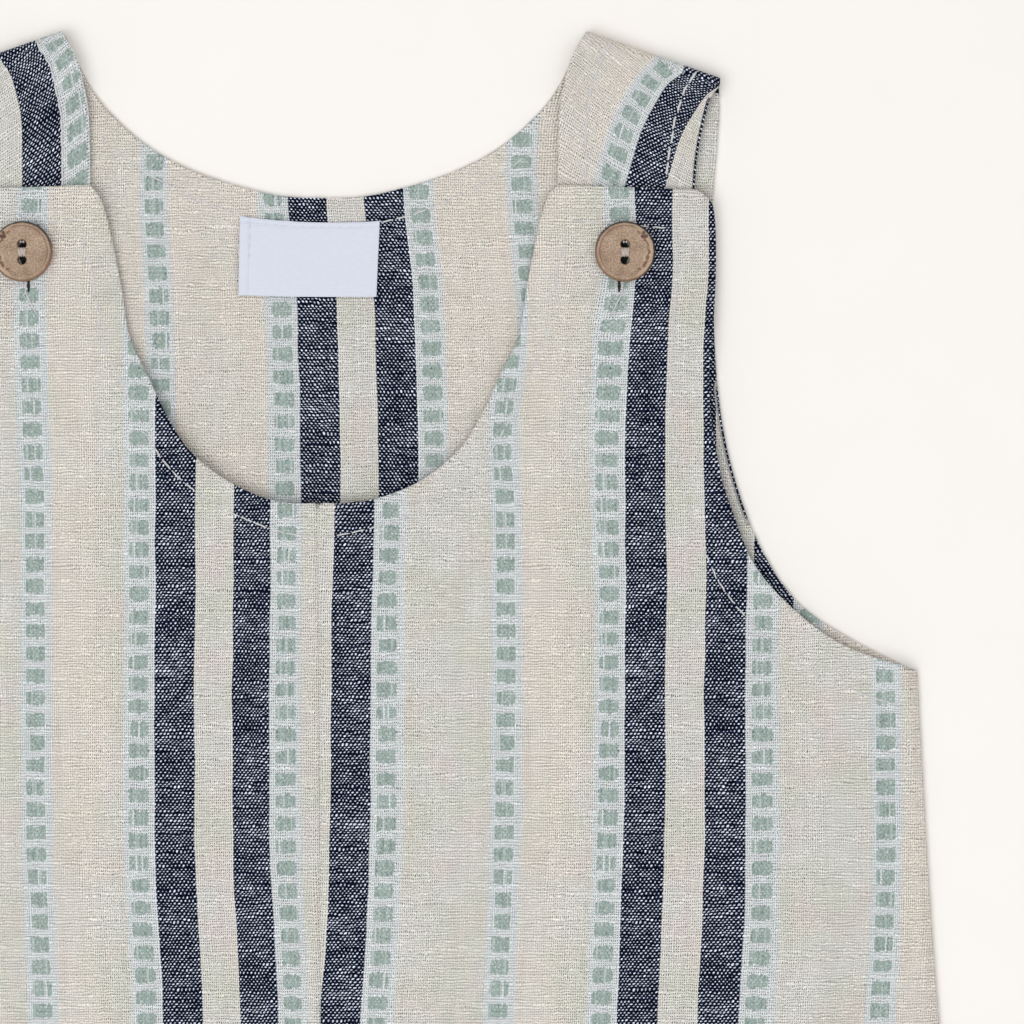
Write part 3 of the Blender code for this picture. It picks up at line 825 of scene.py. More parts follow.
# ---------------------------------------------------------------- shader helper
class Shader:
    """Builds one material's nodes, with sockets or plain numbers as inputs."""

    def __init__(self, name):
        self.material = bpy.data.materials.new(name)
        self.material.use_nodes = True
        self.tree = self.material.node_tree
        self.surface = self.tree.nodes["Principled BSDF"]

    def feed(self, socket, value):
        if isinstance(value, bpy.types.NodeSocket):
            self.tree.links.new(value, socket)
        else:
            socket.default_value = value

    def node(self, kind, **settings):
        node = self.tree.nodes.new(kind)
        for key, value in settings.items():
            setattr(node, key, value)
        return node

    def math(self, operation, *values):
        node = self.node("ShaderNodeMath", operation=operation)
        for socket, value in zip(node.inputs, values):
            self.feed(socket, value)
        return node.outputs[0]

    add = partialmethod(math, "ADD")
    less = partialmethod(math, "SUBTRACT")
    times = partialmethod(math, "MULTIPLY")
    over = partialmethod(math, "DIVIDE")
    madd = partialmethod(math, "MULTIPLY_ADD")
    larger = partialmethod(math, "MAXIMUM")
    floor = partialmethod(math, "FLOOR")
    fract = partialmethod(math, "FRACT")
    nearest = partialmethod(math, "ROUND")
    absolute = partialmethod(math, "ABSOLUTE")

    def step(self, value, start, end, low=0.0, high=1.0):
        """low up to start, high from end, and smooth between."""
        node = self.node("ShaderNodeMapRange", interpolation_type="SMOOTHSTEP")
        for socket, given in zip(node.inputs, (value, start, end, low, high)):
            self.feed(socket, given)
        return node.outputs[0]

    def vector(self, *values):
        node = self.node("ShaderNodeCombineXYZ")
        for socket, value in zip(node.inputs, values):
            self.feed(socket, value)
        return node.outputs[0]

    def parts(self, vector):
        node = self.node("ShaderNodeSeparateXYZ")
        self.feed(node.inputs[0], vector)
        return node.outputs

    def spot(self):
        """The point's own place on its piece, in metres."""
        return self.node("ShaderNodeTexCoord").outputs["Object"]

    def noise(self, vector, detail=2.0, scale=1.0):
        node = self.node("ShaderNodeTexNoise")
        self.feed(node.inputs["Vector"], vector)
        node.inputs["Scale"].default_value = scale
        node.inputs["Detail"].default_value = detail
        return node.outputs[0]

    def chance(self, *values):
        """A number from 0 to 1 that is the same wherever the values are."""
        node = self.node("ShaderNodeTexWhiteNoise", noise_dimensions="3D")
        self.feed(node.inputs["Vector"], self.vector(*values))
        return node.outputs["Value"]

    def mix(self, share, first, second, blend="MIX"):
        node = self.node("ShaderNodeMix", data_type="RGBA", blend_type=blend)
        self.feed(node.inputs[0], share)
        self.feed(node.inputs[6], first)
        self.feed(node.inputs[7], second)
        return node.outputs[2]

    def shade(self, colour, brightness):
        grey = self.vector(brightness, brightness, brightness)
        return self.mix(1.0, colour, grey, blend="MULTIPLY")

    def ramp(self, value, stops, steps=True):
        node = self.node("ShaderNodeValToRGB")
        ramp = node.color_ramp
        ramp.interpolation = "CONSTANT" if steps else "LINEAR"
        while len(ramp.elements) < len(stops):
            ramp.elements.new(0.5)
        for element, (position, colour) in zip(ramp.elements, stops):
            element.position = position
            element.color = colour
        self.feed(node.inputs[0], value)
        return node.outputs[0]

    def bump(self, height, distance, strength=1.0):
        node = self.node("ShaderNodeBump")
        node.inputs["Strength"].default_value = strength
        node.inputs["Distance"].default_value = distance
        self.feed(node.inputs["Height"], height)
        self.tree.links.new(node.outputs[0], self.surface.inputs["Normal"])

    def finish(self, colour, roughness, **settings):
        self.feed(self.surface.inputs["Base Color"], colour)
        self.feed(self.surface.inputs["Roughness"], roughness)
        for key, value in settings.items():
            self.surface.inputs[key.replace("_", " ")].default_value = value
        return self.material


def rgb(red, green, blue):
    """A display colour, 0 to 255, as the linear values that a shader takes."""
    def linear(value):
        value /= 255
        return value / 12.92 if value <= 0.04045 else ((value + 0.055) / 1.055) ** 2.4
    return (linear(red), linear(green), linear(blue), 1.0)


NAVY = rgb(2, 9, 28)
PAINTED_NAVY_SHEEN = rgb(36, 47, 76)
CREAM = rgb(235, 233, 227)
LIME = rgb(227, 227, 213)
ROSE = rgb(238, 225, 219)
PEACH = rgb(247, 236, 224)
DASH_WHITE = rgb(229, 234, 236)
WHITE_WEFT = rgb(235, 234, 229)
DARK_WEFT = rgb(225, 234, 255)
GREEN = rgb(157, 174, 167)
THREAD = rgb(222, 221, 222)
BUTTON_THREAD = rgb(198, 184, 174)
LABEL_WHITE = rgb(229, 233, 247)
BLACK = (0.0, 0.0, 0.0, 1.0)
WHITE = (1.0, 1.0, 1.0, 1.0)


def stripe_ramps(s, turn):
    """Across one repeat: warp colour, navy or dashed, distance from a band's middle, and peach."""
    colours, kinds, dashed, peach = [], [], [], []
    start = 0.0
    for stripe in STRIPES:
        position = start / REPEAT
        middle = (start + stripe.width / 2) / REPEAT
        is_navy, is_dashed = float(stripe.kind == "navy"), float(stripe.kind == "dashes")
        colours.append((position, {"navy": NAVY, "dashes": DASH_WHITE}.get(stripe.kind, CREAM)))
        kinds.append((position, (is_navy, is_dashed, 0.0, 1.0)))
        if is_dashed:
            dashed += [(position, WHITE), (middle, BLACK), (position + stripe.width / REPEAT, WHITE)]
        for share, tint in zip(TINT_SPOTS, stripe.tints):
            peach.append(((start + stripe.width * share) / REPEAT, (tint, tint, tint, 1.0)))
        start += stripe.width
    return (
        s.ramp(turn, colours),
        s.ramp(turn, kinds),
        s.ramp(turn, dashed, steps=False),
        s.ramp(turn, peach, steps=False),
    )


def linen(name, weave):
    """Plain woven stripes with dashed bands, all worked out from the place in the cloth."""
    s = Shader(name)
    across, along, _ = s.parts(s.node("ShaderNodeAttribute", attribute_name="cloth").outputs["Vector"])

    def changes(patch):
        spot = s.vector(s.times(across, patch.across), s.times(along, patch.along), patch.seed)
        return s.less(s.noise(spot, patch.detail), 0.5)

    def stir(value, *patches):
        """A value with slow changes added to it."""
        for patch in patches:
            value = s.madd(changes(patch), patch.strength, value)
        return value

    def cover(kind, where):
        """How strongly a colour that comes and goes covers the cloth, where it may."""
        return s.times(s.step(changes(kind.patch), kind.start, kind.full), s.times(where, kind.share))

    # threads wander a little
    across, along = stir(across, DRIFT), stir(along, *BOWS)

    turn = s.fract(s.over(across, REPEAT))
    warp, kinds, from_band, peach = stripe_ramps(s, turn)
    dark, dash_zone, _ = s.parts(kinds)

    # plain weave: the weft shows over every other end, the other ones in the next pick
    end = s.over(across, END_PITCH)
    pick = s.over(along, PICK_PITCH)
    pick_row = s.floor(pick)
    in_pick = s.less(s.fract(pick), 0.5)
    pair = s.times(s.add(end, pick_row), 0.5)
    from_dot = s.times(s.less(s.fract(pair), 0.5), 2.0)
    luck = s.chance(s.floor(pair), pick_row, 0.0)
    # each pick has thick and thin stretches of its own
    slub_spot = s.vector(s.times(across, SLUB_TURNS), s.times(pick_row, SLUB_ROW_STEP), 3.0)
    slub = s.less(s.noise(slub_spot), 0.5)
    usual_width = s.madd(dark, DARK_DOT[0] - PALE_DOT[0], PALE_DOT[0])
    usual_height = s.madd(dark, DARK_DOT[1] - PALE_DOT[1], PALE_DOT[1])
    wide = s.madd(slub, SLUB_WIDTH, usual_width)
    wide = s.madd(s.less(luck, 0.5), LUCK_WIDTH, wide)
    wide = s.madd(s.times(changes(WORN_DOTS), dark), WORN_DOTS.strength, wide)
    high = s.madd(slub, SLUB_HEIGHT, usual_height)
    # a dot lies aslant, because its thread climbs over the end
    leaning = s.madd(from_dot, s.times(dark, -DOT_LEAN), in_pick)

    def oval(half_width, half_height):
        over = s.over(from_dot, half_width)
        up = s.over(leaning, half_height)
        square = s.madd(over, over, s.times(up, up))
        return s.step(square, *DOT_EDGE, 1.0, 0.0)

    dot = oval(wide, high)

    # tints that come and go along the cloth
    tint = s.madd(peach, 1.0 - weave.peach, PEACH_THROUGH * weave.peach)
    tinted = s.step(s.times(peach, 1.0 + 3.0 * weave.peach), 0.02, 0.12)
    tint = s.times(s.step(stir(tint, *TINTS), *TINT_RANGE), tinted)
    plain = s.times(s.less(1.0, dark), s.less(1.0, dash_zone))
    limy, rosy = cover(LIMY, plain), cover(ROSY, plain)
    grounds = []
    for ground in (warp, s.mix(WHITENESS, CREAM, WHITE_WEFT)):
        ground = s.mix(rosy, s.mix(limy, ground, LIME), ROSE)
        grounds.append(s.mix(s.times(tint, PEACH_SHARE), ground, PEACH))
    warp, weft = grounds
    weft = s.mix(s.times(dark, OWN_WEFT), weft, DARK_WEFT)
    weft = s.mix(s.times(dash_zone, OWN_WEFT), weft, DASH_WHITE)

    # brightness of single threads
    end_luck = s.chance(s.floor(end), 1.0, 2.0)
    pick_luck = s.chance(pick_row, 5.0, s.floor(s.times(across, 0.03)))
    warp = s.shade(warp, s.madd(end_luck, END_SPREAD, END_LIGHT))
    # painted sheen on the navy warp, in patches
    warp = s.mix(cover(NAVY_SHEEN_PATCHES, dark), warp, PAINTED_NAVY_SHEEN)
    # dots are brighter in a navy stripe, and differ more from one to the next
    spread = s.madd(dark, NAVY_DOT_SPREAD, DOT_SPREAD)
    usual = s.madd(dark, NAVY_DOT_LIGHT, DOT_LIGHT)
    light = s.madd(s.less(luck, 0.62), spread, usual)
    light = s.madd(s.less(pick_luck, 0.5), PICK_SPREAD, light)
    light = s.madd(slub, SLUB_LIGHT, light)
    colour = s.mix(dot, warp, s.shade(weft, light))
    colour = s.shade(colour, stir(1.0, FIBRES))

    # painted shade in the pinholes where threads part, and between picks and ends
    in_end = s.absolute(s.less(s.fract(end), 0.5))
    beside = s.step(in_end, *END_EDGE)
    above = s.step(s.absolute(in_pick), *PICK_EDGE)
    hole_luck = s.chance(s.nearest(end), s.nearest(pick), 4.0)
    # every other gap is the wider one
    crossing = s.add(s.nearest(end), s.nearest(pick))
    wider = s.math("PINGPONG", crossing, 1.0)
    openness = s.madd(slub, -SLUB_CLOSING, changes(OPENNESS))
    hole_luck = s.madd(hole_luck, 0.5, 0.5)
    hole = s.step(s.madd(openness, OPENNESS.strength, hole_luck), -0.1, 0.9)
    hole = s.times(hole, s.madd(wider, 1.0 - NARROW_GAP, NARROW_GAP))
    hole = s.times(s.times(beside, above), hole)
    between = s.times(above, s.madd(openness, 0.25, weave.between_picks))
    between = s.madd(beside, weave.between_ends, between)
    painted_gap_shade = s.madd(hole, weave.holes, between)
    painted_gap_shade = s.math("MINIMUM", painted_gap_shade, DARKEST)
    painted_gap_shade = s.times(painted_gap_shade, s.madd(dark, -NAVY_FILLING, 1.0))
    colour = s.shade(colour, s.madd(painted_gap_shade, -weave.light, weave.light))

    # green floats in the dashed bands
    band = s.floor(s.times(turn, BAND_TURNS))
    run = s.add(s.over(along, DASH_PITCH), s.times(band, BAND_STAGGER))
    run_number = s.floor(run)
    from_dash = s.absolute(s.less(s.fract(run), 0.5))
    ragged = s.chance(s.floor(end), run_number, 6.0)
    in_dash = s.madd(s.less(ragged, 0.5), RAGGEDNESS, from_dash)
    half_dash = DASH_LENGTH / DASH_PITCH / 2
    # a dash is a bar with round corners and ragged ends
    clumps = s.less(s.noise(s.vector(s.times(across, CLUMP_TURNS), run_number, 5.0), 1.0), 0.5)
    dash_x = stir(s.over(from_band, DASH_WIDTH / BAND_WIDTH), DASH_SIDES)
    dash_y = stir(s.over(in_dash, half_dash), DASH_ENDS)
    dash_x = s.math("POWER", s.larger(dash_x, 0.0), DASH_SQUARENESS)
    dash_y = s.math("POWER", s.larger(dash_y, 0.0), DASH_SQUARENESS)
    dash = s.step(s.add(dash_x, dash_y), *DASH_EDGE, 1.0, 0.0)
    float_luck = s.chance(s.floor(end), run_number, 9.0)
    dash = s.times(s.times(dash, dash_zone), s.step(float_luck, 0.99, 0.92))
    float_line = s.absolute(s.less(s.fract(s.times(end, FLOATS_TO_END)), 0.5))
    green_light = s.madd(clumps, 0.7, s.madd(float_luck, 0.2, 0.92))
    # painted shade in the gaps between the green floats
    green_light = s.madd(s.step(float_line, 0.15, 0.5), -0.22, green_light)
    green = s.shade(GREEN, stir(green_light, *GREEN_GRAINS))
    green = s.mix(s.times(s.step(clumps, 0.08, 0.24), 0.5), green, DASH_WHITE)
    covered = s.times(dash, s.madd(s.times(dot, luck), -0.5, 1.0))
    colour = s.mix(covered, colour, green)

    # the relief leaves out the threads' chances: a bump works its height out three times
    woven = s.madd(oval(usual_width, usual_height), 0.5, s.times(above, -0.06))
    woven = s.madd(s.times(beside, above), -0.6, woven)
    floats = s.less(0.9, s.times(float_line, 0.8))
    bar = s.larger(s.over(from_band, DASH_WIDTH / BAND_WIDTH), s.over(from_dash, half_dash))
    bar = s.times(s.step(bar, 0.9, 1.1, 1.0, 0.0), dash_zone)
    relief = s.add(woven, s.times(bar, s.less(floats, woven)))
    s.bump(relief, distance=0.00012, strength=0.8)
    return s.finish(colour, 0.9, Specular_IOR_Level=0.06)


def thread_material(name, tone):
    s = Shader(name)
    spot = s.spot()
    colour = s.shade(tone, s.madd(s.noise(spot, scale=2600.0), 0.22, 0.86))
    wave = s.node("ShaderNodeTexWave", bands_direction="DIAGONAL")
    s.feed(wave.inputs["Vector"], spot)
    wave.inputs["Scale"].default_value = 900.0
    s.bump(wave.outputs["Fac"], distance=0.00006)
    return s.finish(colour, 0.7, Sheen_Weight=0.2)


def label_material():
    s = Shader("woven label")
    spot = s.spot()
    x, y, _ = s.parts(spot)
    rib = s.math("SINE", s.times(y, 2 * math.pi / 0.00034))
    rib_across = s.math("SINE", s.times(x, 2 * math.pi / 0.0005))
    light = s.madd(rib, 0.02, 0.95)
    light = s.madd(s.times(rib_across, rib), 0.012, light)
    light = s.madd(s.noise(spot, scale=900.0), 0.05, light)
    colour = s.shade(LABEL_WHITE, light)
    s.bump(s.madd(rib, 0.5, s.times(rib_across, 0.25)), distance=0.00005)
    return s.finish(colour, 0.55, Sheen_Weight=0.15)


def shell_material():
    """Coconut shell: sandy and mottled, with a dark rim that has painted shade on one side, one crack
    and a paler edge beside it.
    """
    s = Shader("coconut shell")
    scene_x, scene_y, _ = s.parts(s.spot())
    middle_x, middle_down = BUTTON_PLACE
    x = s.madd(s.absolute(scene_x), 1 / MM, -middle_x)
    y = s.madd(scene_y, 1 / MM, middle_down - LENGTH / 2)

    def away(from_x, from_y):
        across, up = s.less(x, from_x), s.less(y, from_y)
        return s.math("SQRT", s.add(s.times(across, across), s.times(up, up)))

    def noise(x_scale, y_scale, seed, detail=3.0):
        return s.noise(s.vector(s.times(x, x_scale), s.times(y, y_scale), seed), detail)

    clouds = noise(0.3, 0.3, 0.0, 4.0)
    sand = noise(3.0, 2.8, 5.0, 3.0)
    streaks = noise(2.0, 0.5, 9.0)
    tones = [(0.3, rgb(146, 120, 98)), (0.5, rgb(167, 141, 118)), (0.7, rgb(178, 154, 130))]
    colour = s.ramp(clouds, tones, steps=False)
    light = s.madd(sand, 2.2, -0.1)
    light = s.madd(streaks, 0.4, s.less(light, 0.2))
    colour = s.shade(colour, light)
    # the crack near the rim on one side, and the paler shell beyond it
    from_middle = away(0.0, 0.0)
    crack_radius = s.madd(noise(0.5, 0.7, 3.0), 2.2, 4.0)
    past_crack = s.times(s.less(from_middle, crack_radius), s.step(x, 1.8, 3.0))
    colour = s.mix(s.times(s.step(past_crack, 0.0, 0.5), 0.35), colour, rgb(208, 184, 154))
    crack = s.times(s.step(s.absolute(past_crack), 0.42, 0.1), s.step(x, 2.2, 3.2))
    crack = s.times(crack, s.step(noise(0.8, 0.7, 4.0), 0.36, 0.48))
    colour = s.mix(s.times(crack, 0.85), colour, rgb(108, 62, 42))
    for knot_x, knot_y, size in ((4.6, 3.3, 0.6), (3.8, 3.2, 0.5), (4.1, 4.1, 0.5)):
        knot = s.step(away(knot_x, knot_y), size, size * 0.4)
        colour = s.mix(s.times(knot, 0.9), colour, rgb(66, 36, 26))
    # the outer skin is dark brown, and painted shade makes it darker still away from the lower left
    painted_skin_shade = s.step(s.madd(x, 0.5, y), -5.5, 2.0)
    dark_skin_and_shade = s.mix(painted_skin_shade, rgb(140, 106, 80), rgb(54, 38, 32))
    # a thin brown line just inside the rim, at the upper left
    line = s.step(s.absolute(s.less(from_middle, 5.62)), 0.24, 0.06)
    line = s.times(line, s.step(s.less(y, x), 1.0, 4.0))
    colour = s.mix(s.times(line, 0.6), colour, rgb(104, 66, 50))
    edge = s.madd(noise(0.7, 0.7, 6.0), 0.5, from_middle)
    colour = s.mix(s.step(edge, BUTTON_RIM + 0.22, BUTTON_RIM + 0.44), colour, dark_skin_and_shade)
    s.bump(sand, distance=0.00005, strength=0.5)
    return s.finish(colour, 0.55, Coat_Weight=0.08, Coat_Roughness=0.4)


def plain_material(name, colour, roughness=0.9):
    s = Shader(name)
    return s.finish(s.shade(colour, s.madd(s.noise(s.spot(), scale=60.0), 0.02, 0.99)), roughness)


# ---------------------------------------------------------------- threads and stitches
def offset_line(line, inward, amount):
    """A line moved sideways by an amount, to the side that the point inward is on."""
    before = np.concatenate([line[:1], line[:-1]])
    after = np.concatenate([line[1:], line[-1:]])
    along = after - before
    along = along / np.maximum(np.linalg.norm(along, axis=1), 1e-9)[:, None]
    normals = np.column_stack([along[:, 1], -along[:, 0]])
    if np.sum(normals * (inward - line)) < 0:
        normals = -normals
    moved = line + normals * np.broadcast_to(amount, len(line))[:, None]
    distance, _ = distance_to(line, moved[:, 0], moved[:, 1])
    return moved[distance > amount - 0.05]


def spaced(line, spacing):
    """Points along a line, spacing apart."""
    lengths = np.r_[0.0, np.cumsum(np.linalg.norm(np.diff(line, axis=0), axis=1))]
    runs = np.arange(0.0, lengths[-1], spacing)
    return np.column_stack([np.interp(runs, lengths, line[:, i]) for i in range(line.shape[1])])


def add_cord(builder, path, radius, sides=6, flat=1.0):
    """Adds a closed thread along points in millimetres, thinner at both ends."""
    rings = []
    count = len(path)
    for index, point in enumerate(path):
        before, after = path[max(index - 1, 0)], path[min(index + 1, count - 1)]
        along = Vector(after - before).normalized()
        sideways = along.cross(Vector((0.0, 0.0, 1.0))).normalized()
        upward = sideways.cross(along)
        place_share = index / (count - 1)
        swell = min(1.0, 0.45 + 2.2 * min(place_share, 1.0 - place_share))
        ring = []
        for side in range(sides):
            angle = 2 * math.pi * side / sides
            out = sideways * math.cos(angle) + upward * math.sin(angle) * flat
            ring.append(builder.verts.new((Vector(point) + out * radius * swell) * MM))
        rings.append(ring)
    for low, high in zip(rings, rings[1:]):
        for side in range(sides):
            other = (side + 1) % sides
            builder.faces.new((low[side], low[other], high[other], high[side]))
    builder.faces.new(rings[0][::-1])
    builder.faces.new(rings[-1])


def stitch_row(builder, tree, line, start=0.0, seed=0, size=HEM_STITCH):
    """Running stitches on a surface, along a line of x and down."""
    cells = 6  # of a stitch
    fine = spaced(np.array(line), size.length / cells)
    luck = np.random.default_rng(seed)
    per_pitch = size.pitch / (size.length / cells)
    position = start
    while position + cells < len(fine):
        first = int(round(position))
        stretch = fine[first : first + cells + 1]
        path = []
        for index, (x, down) in enumerate(stretch):
            lift = 0.02 - size.sink + 0.16 * math.sin(math.pi * index / cells)
            if index in (0, cells):
                lift -= 0.9 * size.radius
            wander = luck.uniform(-0.5, 0.5) * size.radius
            path.append(points_at(x + wander, down - wander, top_of(tree, x, down) + lift))
        shift = luck.uniform(-0.5, 0.5) * size.radius
        for point in path:
            point[0] += shift
        add_cord(builder, path, size.radius * luck.uniform(0.88, 1.12), flat=0.8)
        position += per_pitch * luck.uniform(0.94, 1.06)


def finish_mesh(builder, name, material, smooth=True):
    bmesh.ops.recalc_face_normals(builder, faces=builder.faces)
    mesh = bpy.data.meshes.new(name)
    builder.to_mesh(mesh)
    builder.free()
    if smooth:
        mesh.shade_smooth()
    return add_piece(name, mesh, material)


def front_stitches(name, side, tree, material):
    builder = bmesh.new()
    lines = front_lines(side)
    inward = np.array([side * 68.0, 75.0])
    steps = np.linalg.norm(np.diff(lines["neck"], axis=0), axis=1)
    neck = offset_line(lines["neck"], inward, neck_hem(np.r_[0.0, np.cumsum(steps)]))
    arm = offset_line(lines["armhole"], np.array([side * 60.0, 90.0]), ARMHOLE_HEM)
    inner_end, outer_end = lines["strap end"][:, 1] + STRAP_END_HEM
    neck = neck[neck[:, 1] > inner_end - 0.8]
    arm = arm[(arm[:, 1] > outer_end + 0.2) & (np.abs(arm[:, 0]) < 129.5)]
    across = np.array([neck[-1], arm[-1]])
    stitch_row(builder, tree, neck, seed=1)
    stitch_row(builder, tree, across, start=1.0, seed=2)
    stitch_row(builder, tree, arm[::-1], start=1.0, seed=3)
    hem = offset_line(lines["hem"], np.array([side * 80.0, 300.0]), LEG_HEM)
    hem = spaced(hem, 0.5)[5:-5]
    stitch_row(builder, tree, hem, seed=4)
    return finish_mesh(builder, name, material)


def back_stitches(tree, material):
    builder = bmesh.new()
    sections = TRUNK + BACK_YOKE
    spots = np.array(row_spots(sections, LINE_STEP))
    inner, outer, _ = edges_of(sections, list(spots))
    neck = inner[spots >= BACK_NECK_ROW]
    both = np.concatenate([neck[::-1] * np.array([-1.0, 1.0]), neck[1:]])
    row = offset_line(both, np.array([0.0, 90.0]), back_neck_hem(both[:, 0]))
    row = row[np.abs(row[:, 0]) < 50.0]
    stitch_row(builder, tree, row, seed=5)
    for side in (1, -1):
        spots = row_spots(FOLDED_STRAP, LINE_STEP)
        inner, outer, _ = edges_of(FOLDED_STRAP, spots)
        widths = np.linalg.norm(outer - inner, axis=1)[:, None]
        flip = np.array([side, 1.0])
        for edge, other, fold_end, fold_other in (
            (inner, outer, FOLD_INNER, FOLD_OUTER),
            (outer, inner, FOLD_OUTER, FOLD_INNER),
        ):
            line = edge + (other - edge) / widths * FLAP_HEM
            line = line[line[:, 1] < 40.0]
            # the row starts at the fold
            along_fold = np.array(fold_other) - np.array(fold_end)
            on_fold = np.array(fold_end) + along_fold / np.linalg.norm(along_fold) * FLAP_HEM
            line = np.concatenate([[on_fold + np.array([0.0, 0.6])], line])
            stitch_row(builder, tree, line * flip, seed=6 + side, size=STRAP_STITCH)
    return finish_mesh(builder, "back_stitches", material)


# ---------------------------------------------------------------- label and buttons as pieces
def on_label(across, up):
    """Where a place on the label lies: across and up from its lower left corner, in shares."""
    foot = 1.0 - up
    (x0, d0), (x1, d1), (x2, d2), (x3, d3) = LABEL_CORNERS
    x = foot * (x0 + (x1 - x0) * across) + up * (x2 + (x3 - x2) * across)
    down = foot * (d0 + (d1 - d0) * across) + up * (d2 + (d3 - d2) * across)
    sag = foot * LABEL_FOOT_SAG + up * LABEL_TOP_SAG
    return x, down + sag * (1.0 - (2.0 * across - 1.0) ** 2)


def make_label(material):
    """A woven label with its ends folded under, sewn along its top edge."""
    near = [0, 0.15, 0.4, 0.8, 1.5, 1.9, 2.1, 2.3, 2.7]
    far = [29.7, 30.0, 30.3, 30.5, 30.65, LABEL_LENGTH]
    across = np.concatenate([near, np.linspace(3.4, 29.2, 32), far])
    far_up = [15.6, 15.9, 16.2, 16.6, 16.85, LABEL_WIDTH]
    up = np.concatenate([[0, 0.15, 0.4], np.linspace(1.0, 15.2, 22), far_up])
    grid_x, grid_y = np.meshgrid(across, up)
    from_ends = np.minimum(grid_x, LABEL_LENGTH - grid_x)
    edge = np.minimum(from_ends, np.minimum(grid_y, LABEL_WIDTH - grid_y))
    x, down = on_label(grid_x / LABEL_LENGTH, grid_y / LABEL_WIDTH)
    z = LABEL_Z + 0.18 * ease(edge / 0.5)
    # the turned end stands a little higher up to a sewn line, and sewn lines press the label down
    z = z + 0.14 * (1.0 - ease((grid_x - 2.0) / 0.3)) - 0.12 * bell(grid_x - LABEL_SIDE_SEAM, 0.18)
    z = z - 0.12 * bell(LABEL_LENGTH - 0.7 - grid_x, 0.2)
    z = z - 0.2 * bell(LABEL_WIDTH - grid_y - LABEL_TOP_SEAM, 0.3)
    # it waves a little
    z = z + 0.16 * np.sin(grid_x * 0.21 + 0.8) * np.sin(grid_y * 0.18)
    z = z + 0.05 * np.sin(grid_x * 1.1) * np.exp(-((LABEL_WIDTH - grid_y) / 2.0))
    cloth = np.stack([grid_x, grid_y], axis=-1)
    points = points_at(x, down, z)
    piece = sheet_object("woven_label", [points], [cloth], material)
    give_thickness(piece, LABEL_SHEET)
    return piece


def label_stitches(tree, material):
    builder = bmesh.new()
    top_row = on_label(np.linspace(0.025, 0.975, 60), np.full(60, 1.0 - LABEL_TOP_SEAM / LABEL_WIDTH))
    stitch_row(builder, tree, np.column_stack(top_row), seed=9, size=LABEL_STITCH)
    side_row = on_label(np.full(30, LABEL_SIDE_SEAM / LABEL_LENGTH), np.linspace(0.93, 0.45, 30))
    stitch_row(builder, tree, np.column_stack(side_row), seed=10, size=LABEL_STITCH)
    return finish_mesh(builder, "label_stitches", material)


def turned_piece(name, profile, sides, material):
    """A round piece from half of its cut: radius and height, from the middle of its face."""
    builder = bmesh.new()
    rings = []
    for radius, height in profile:
        if radius == 0.0:
            rings.append([builder.verts.new((0.0, 0.0, height * MM))])
            continue
        angles = [2 * math.pi * side / sides for side in range(sides)]
        points = [(radius * math.cos(a) * MM, radius * math.sin(a) * MM, height * MM) for a in angles]
        rings.append([builder.verts.new(point) for point in points])
    for upper, lower in zip(rings, rings[1:]):
        for side in range(sides):
            other = (side + 1) % sides
            if len(upper) == 1:
                builder.faces.new((upper[0], lower[side], lower[other]))
            elif len(lower) == 1:
                builder.faces.new((upper[other], upper[side], lower[0]))
            else:
                builder.faces.new((upper[side], lower[side], lower[other], upper[other]))
    return finish_mesh(builder, name, material)


def make_button(name, side, node, shell, thread):
    radius = BUTTON_DIAMETER / 2
    low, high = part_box(node)
    base = low.z / MM
    thick = (high.z - low.z) / MM
    profile = [(0.0, thick - 0.24), (3.5, thick - 0.22), (4.9, thick - 0.16), (5.35, thick - 0.12)]
    profile += [(5.5, thick - 0.04), (5.75, thick), (BUTTON_RIM, thick - 0.04)]
    profile += [(BUTTON_RIM + 0.18, thick - 0.16), (BUTTON_RIM + 0.3, thick - 0.4)]
    profile += [(BUTTON_RIM + 0.42, thick - 0.8), (radius, 0.8), (radius - 0.02, 0.5)]
    profile += [(radius - 0.15, 0.25), (radius - 0.5, 0.02), (4.0, 0.0), (0.0, 0.0)]
    button = turned_piece(name, profile, 96, shell)
    x, down = BUTTON_PLACE
    centre = place(side * x, down, base)
    for vertex in button.data.vertices:
        vertex.co += centre
    drill_profile = [(0.0, 6.0), (1.25, 6.0), (1.2, thick - 0.2), (1.0, thick - 0.45)]
    drill_profile += [(0.95, -3.0), (0.0, -3.0)]
    for offset in BUTTON_HOLES:
        drill = turned_piece("drill", drill_profile, 32, shell)
        for vertex in drill.data.vertices:
            vertex.co += centre + Vector((0.0, offset * MM, 0.0))
        cut = button.modifiers.new("Hole", "BOOLEAN")
        cut.operation = "DIFFERENCE"
        cut.object = drill
        apply_modifiers(button)
        bpy.data.objects.remove(drill, do_unlink=True)
    button.data.shade_smooth()
    button.data.set_sharp_from_angle(angle=math.radians(40))

    # threads from hole to hole, lying on the face side by side
    low_hole, high_hole = BUTTON_HOLES
    builder = bmesh.new()
    for strand in range(BUTTON_STRANDS):
        shift = (strand - (BUTTON_STRANDS - 1) / 2) * STRAND_PITCH
        path = []
        for share in np.linspace(0.0, 1.0, 13):
            reach = low_hole + 0.75 + (high_hole - low_hole - 1.5) * share
            arch = thick - 0.1 + 0.16 * math.sin(math.pi * share) ** 0.5
            if share in (0.0, 1.0):
                arch = thick - 1.6
            sway = 0.07 * math.sin(7 * share + 2.1 * strand)
            path.append(points_at(side * x + shift + sway, down - reach, base + arch))
        add_cord(builder, path, STRAND_RADIUS)
    # and down the far side of the upper hole
    for shift in (-0.3, 0.3):
        path = [
            points_at(side * x + shift, down - high_hole - reach, base + height)
            for reach, height in ((0.25, thick - 1.5), (0.6, thick - 0.62), (0.72, thick - 0.5))
        ]
        add_cord(builder, path, 0.28)
    threads = finish_mesh(builder, name.replace("shell", "thread"), thread)
    return button, threads


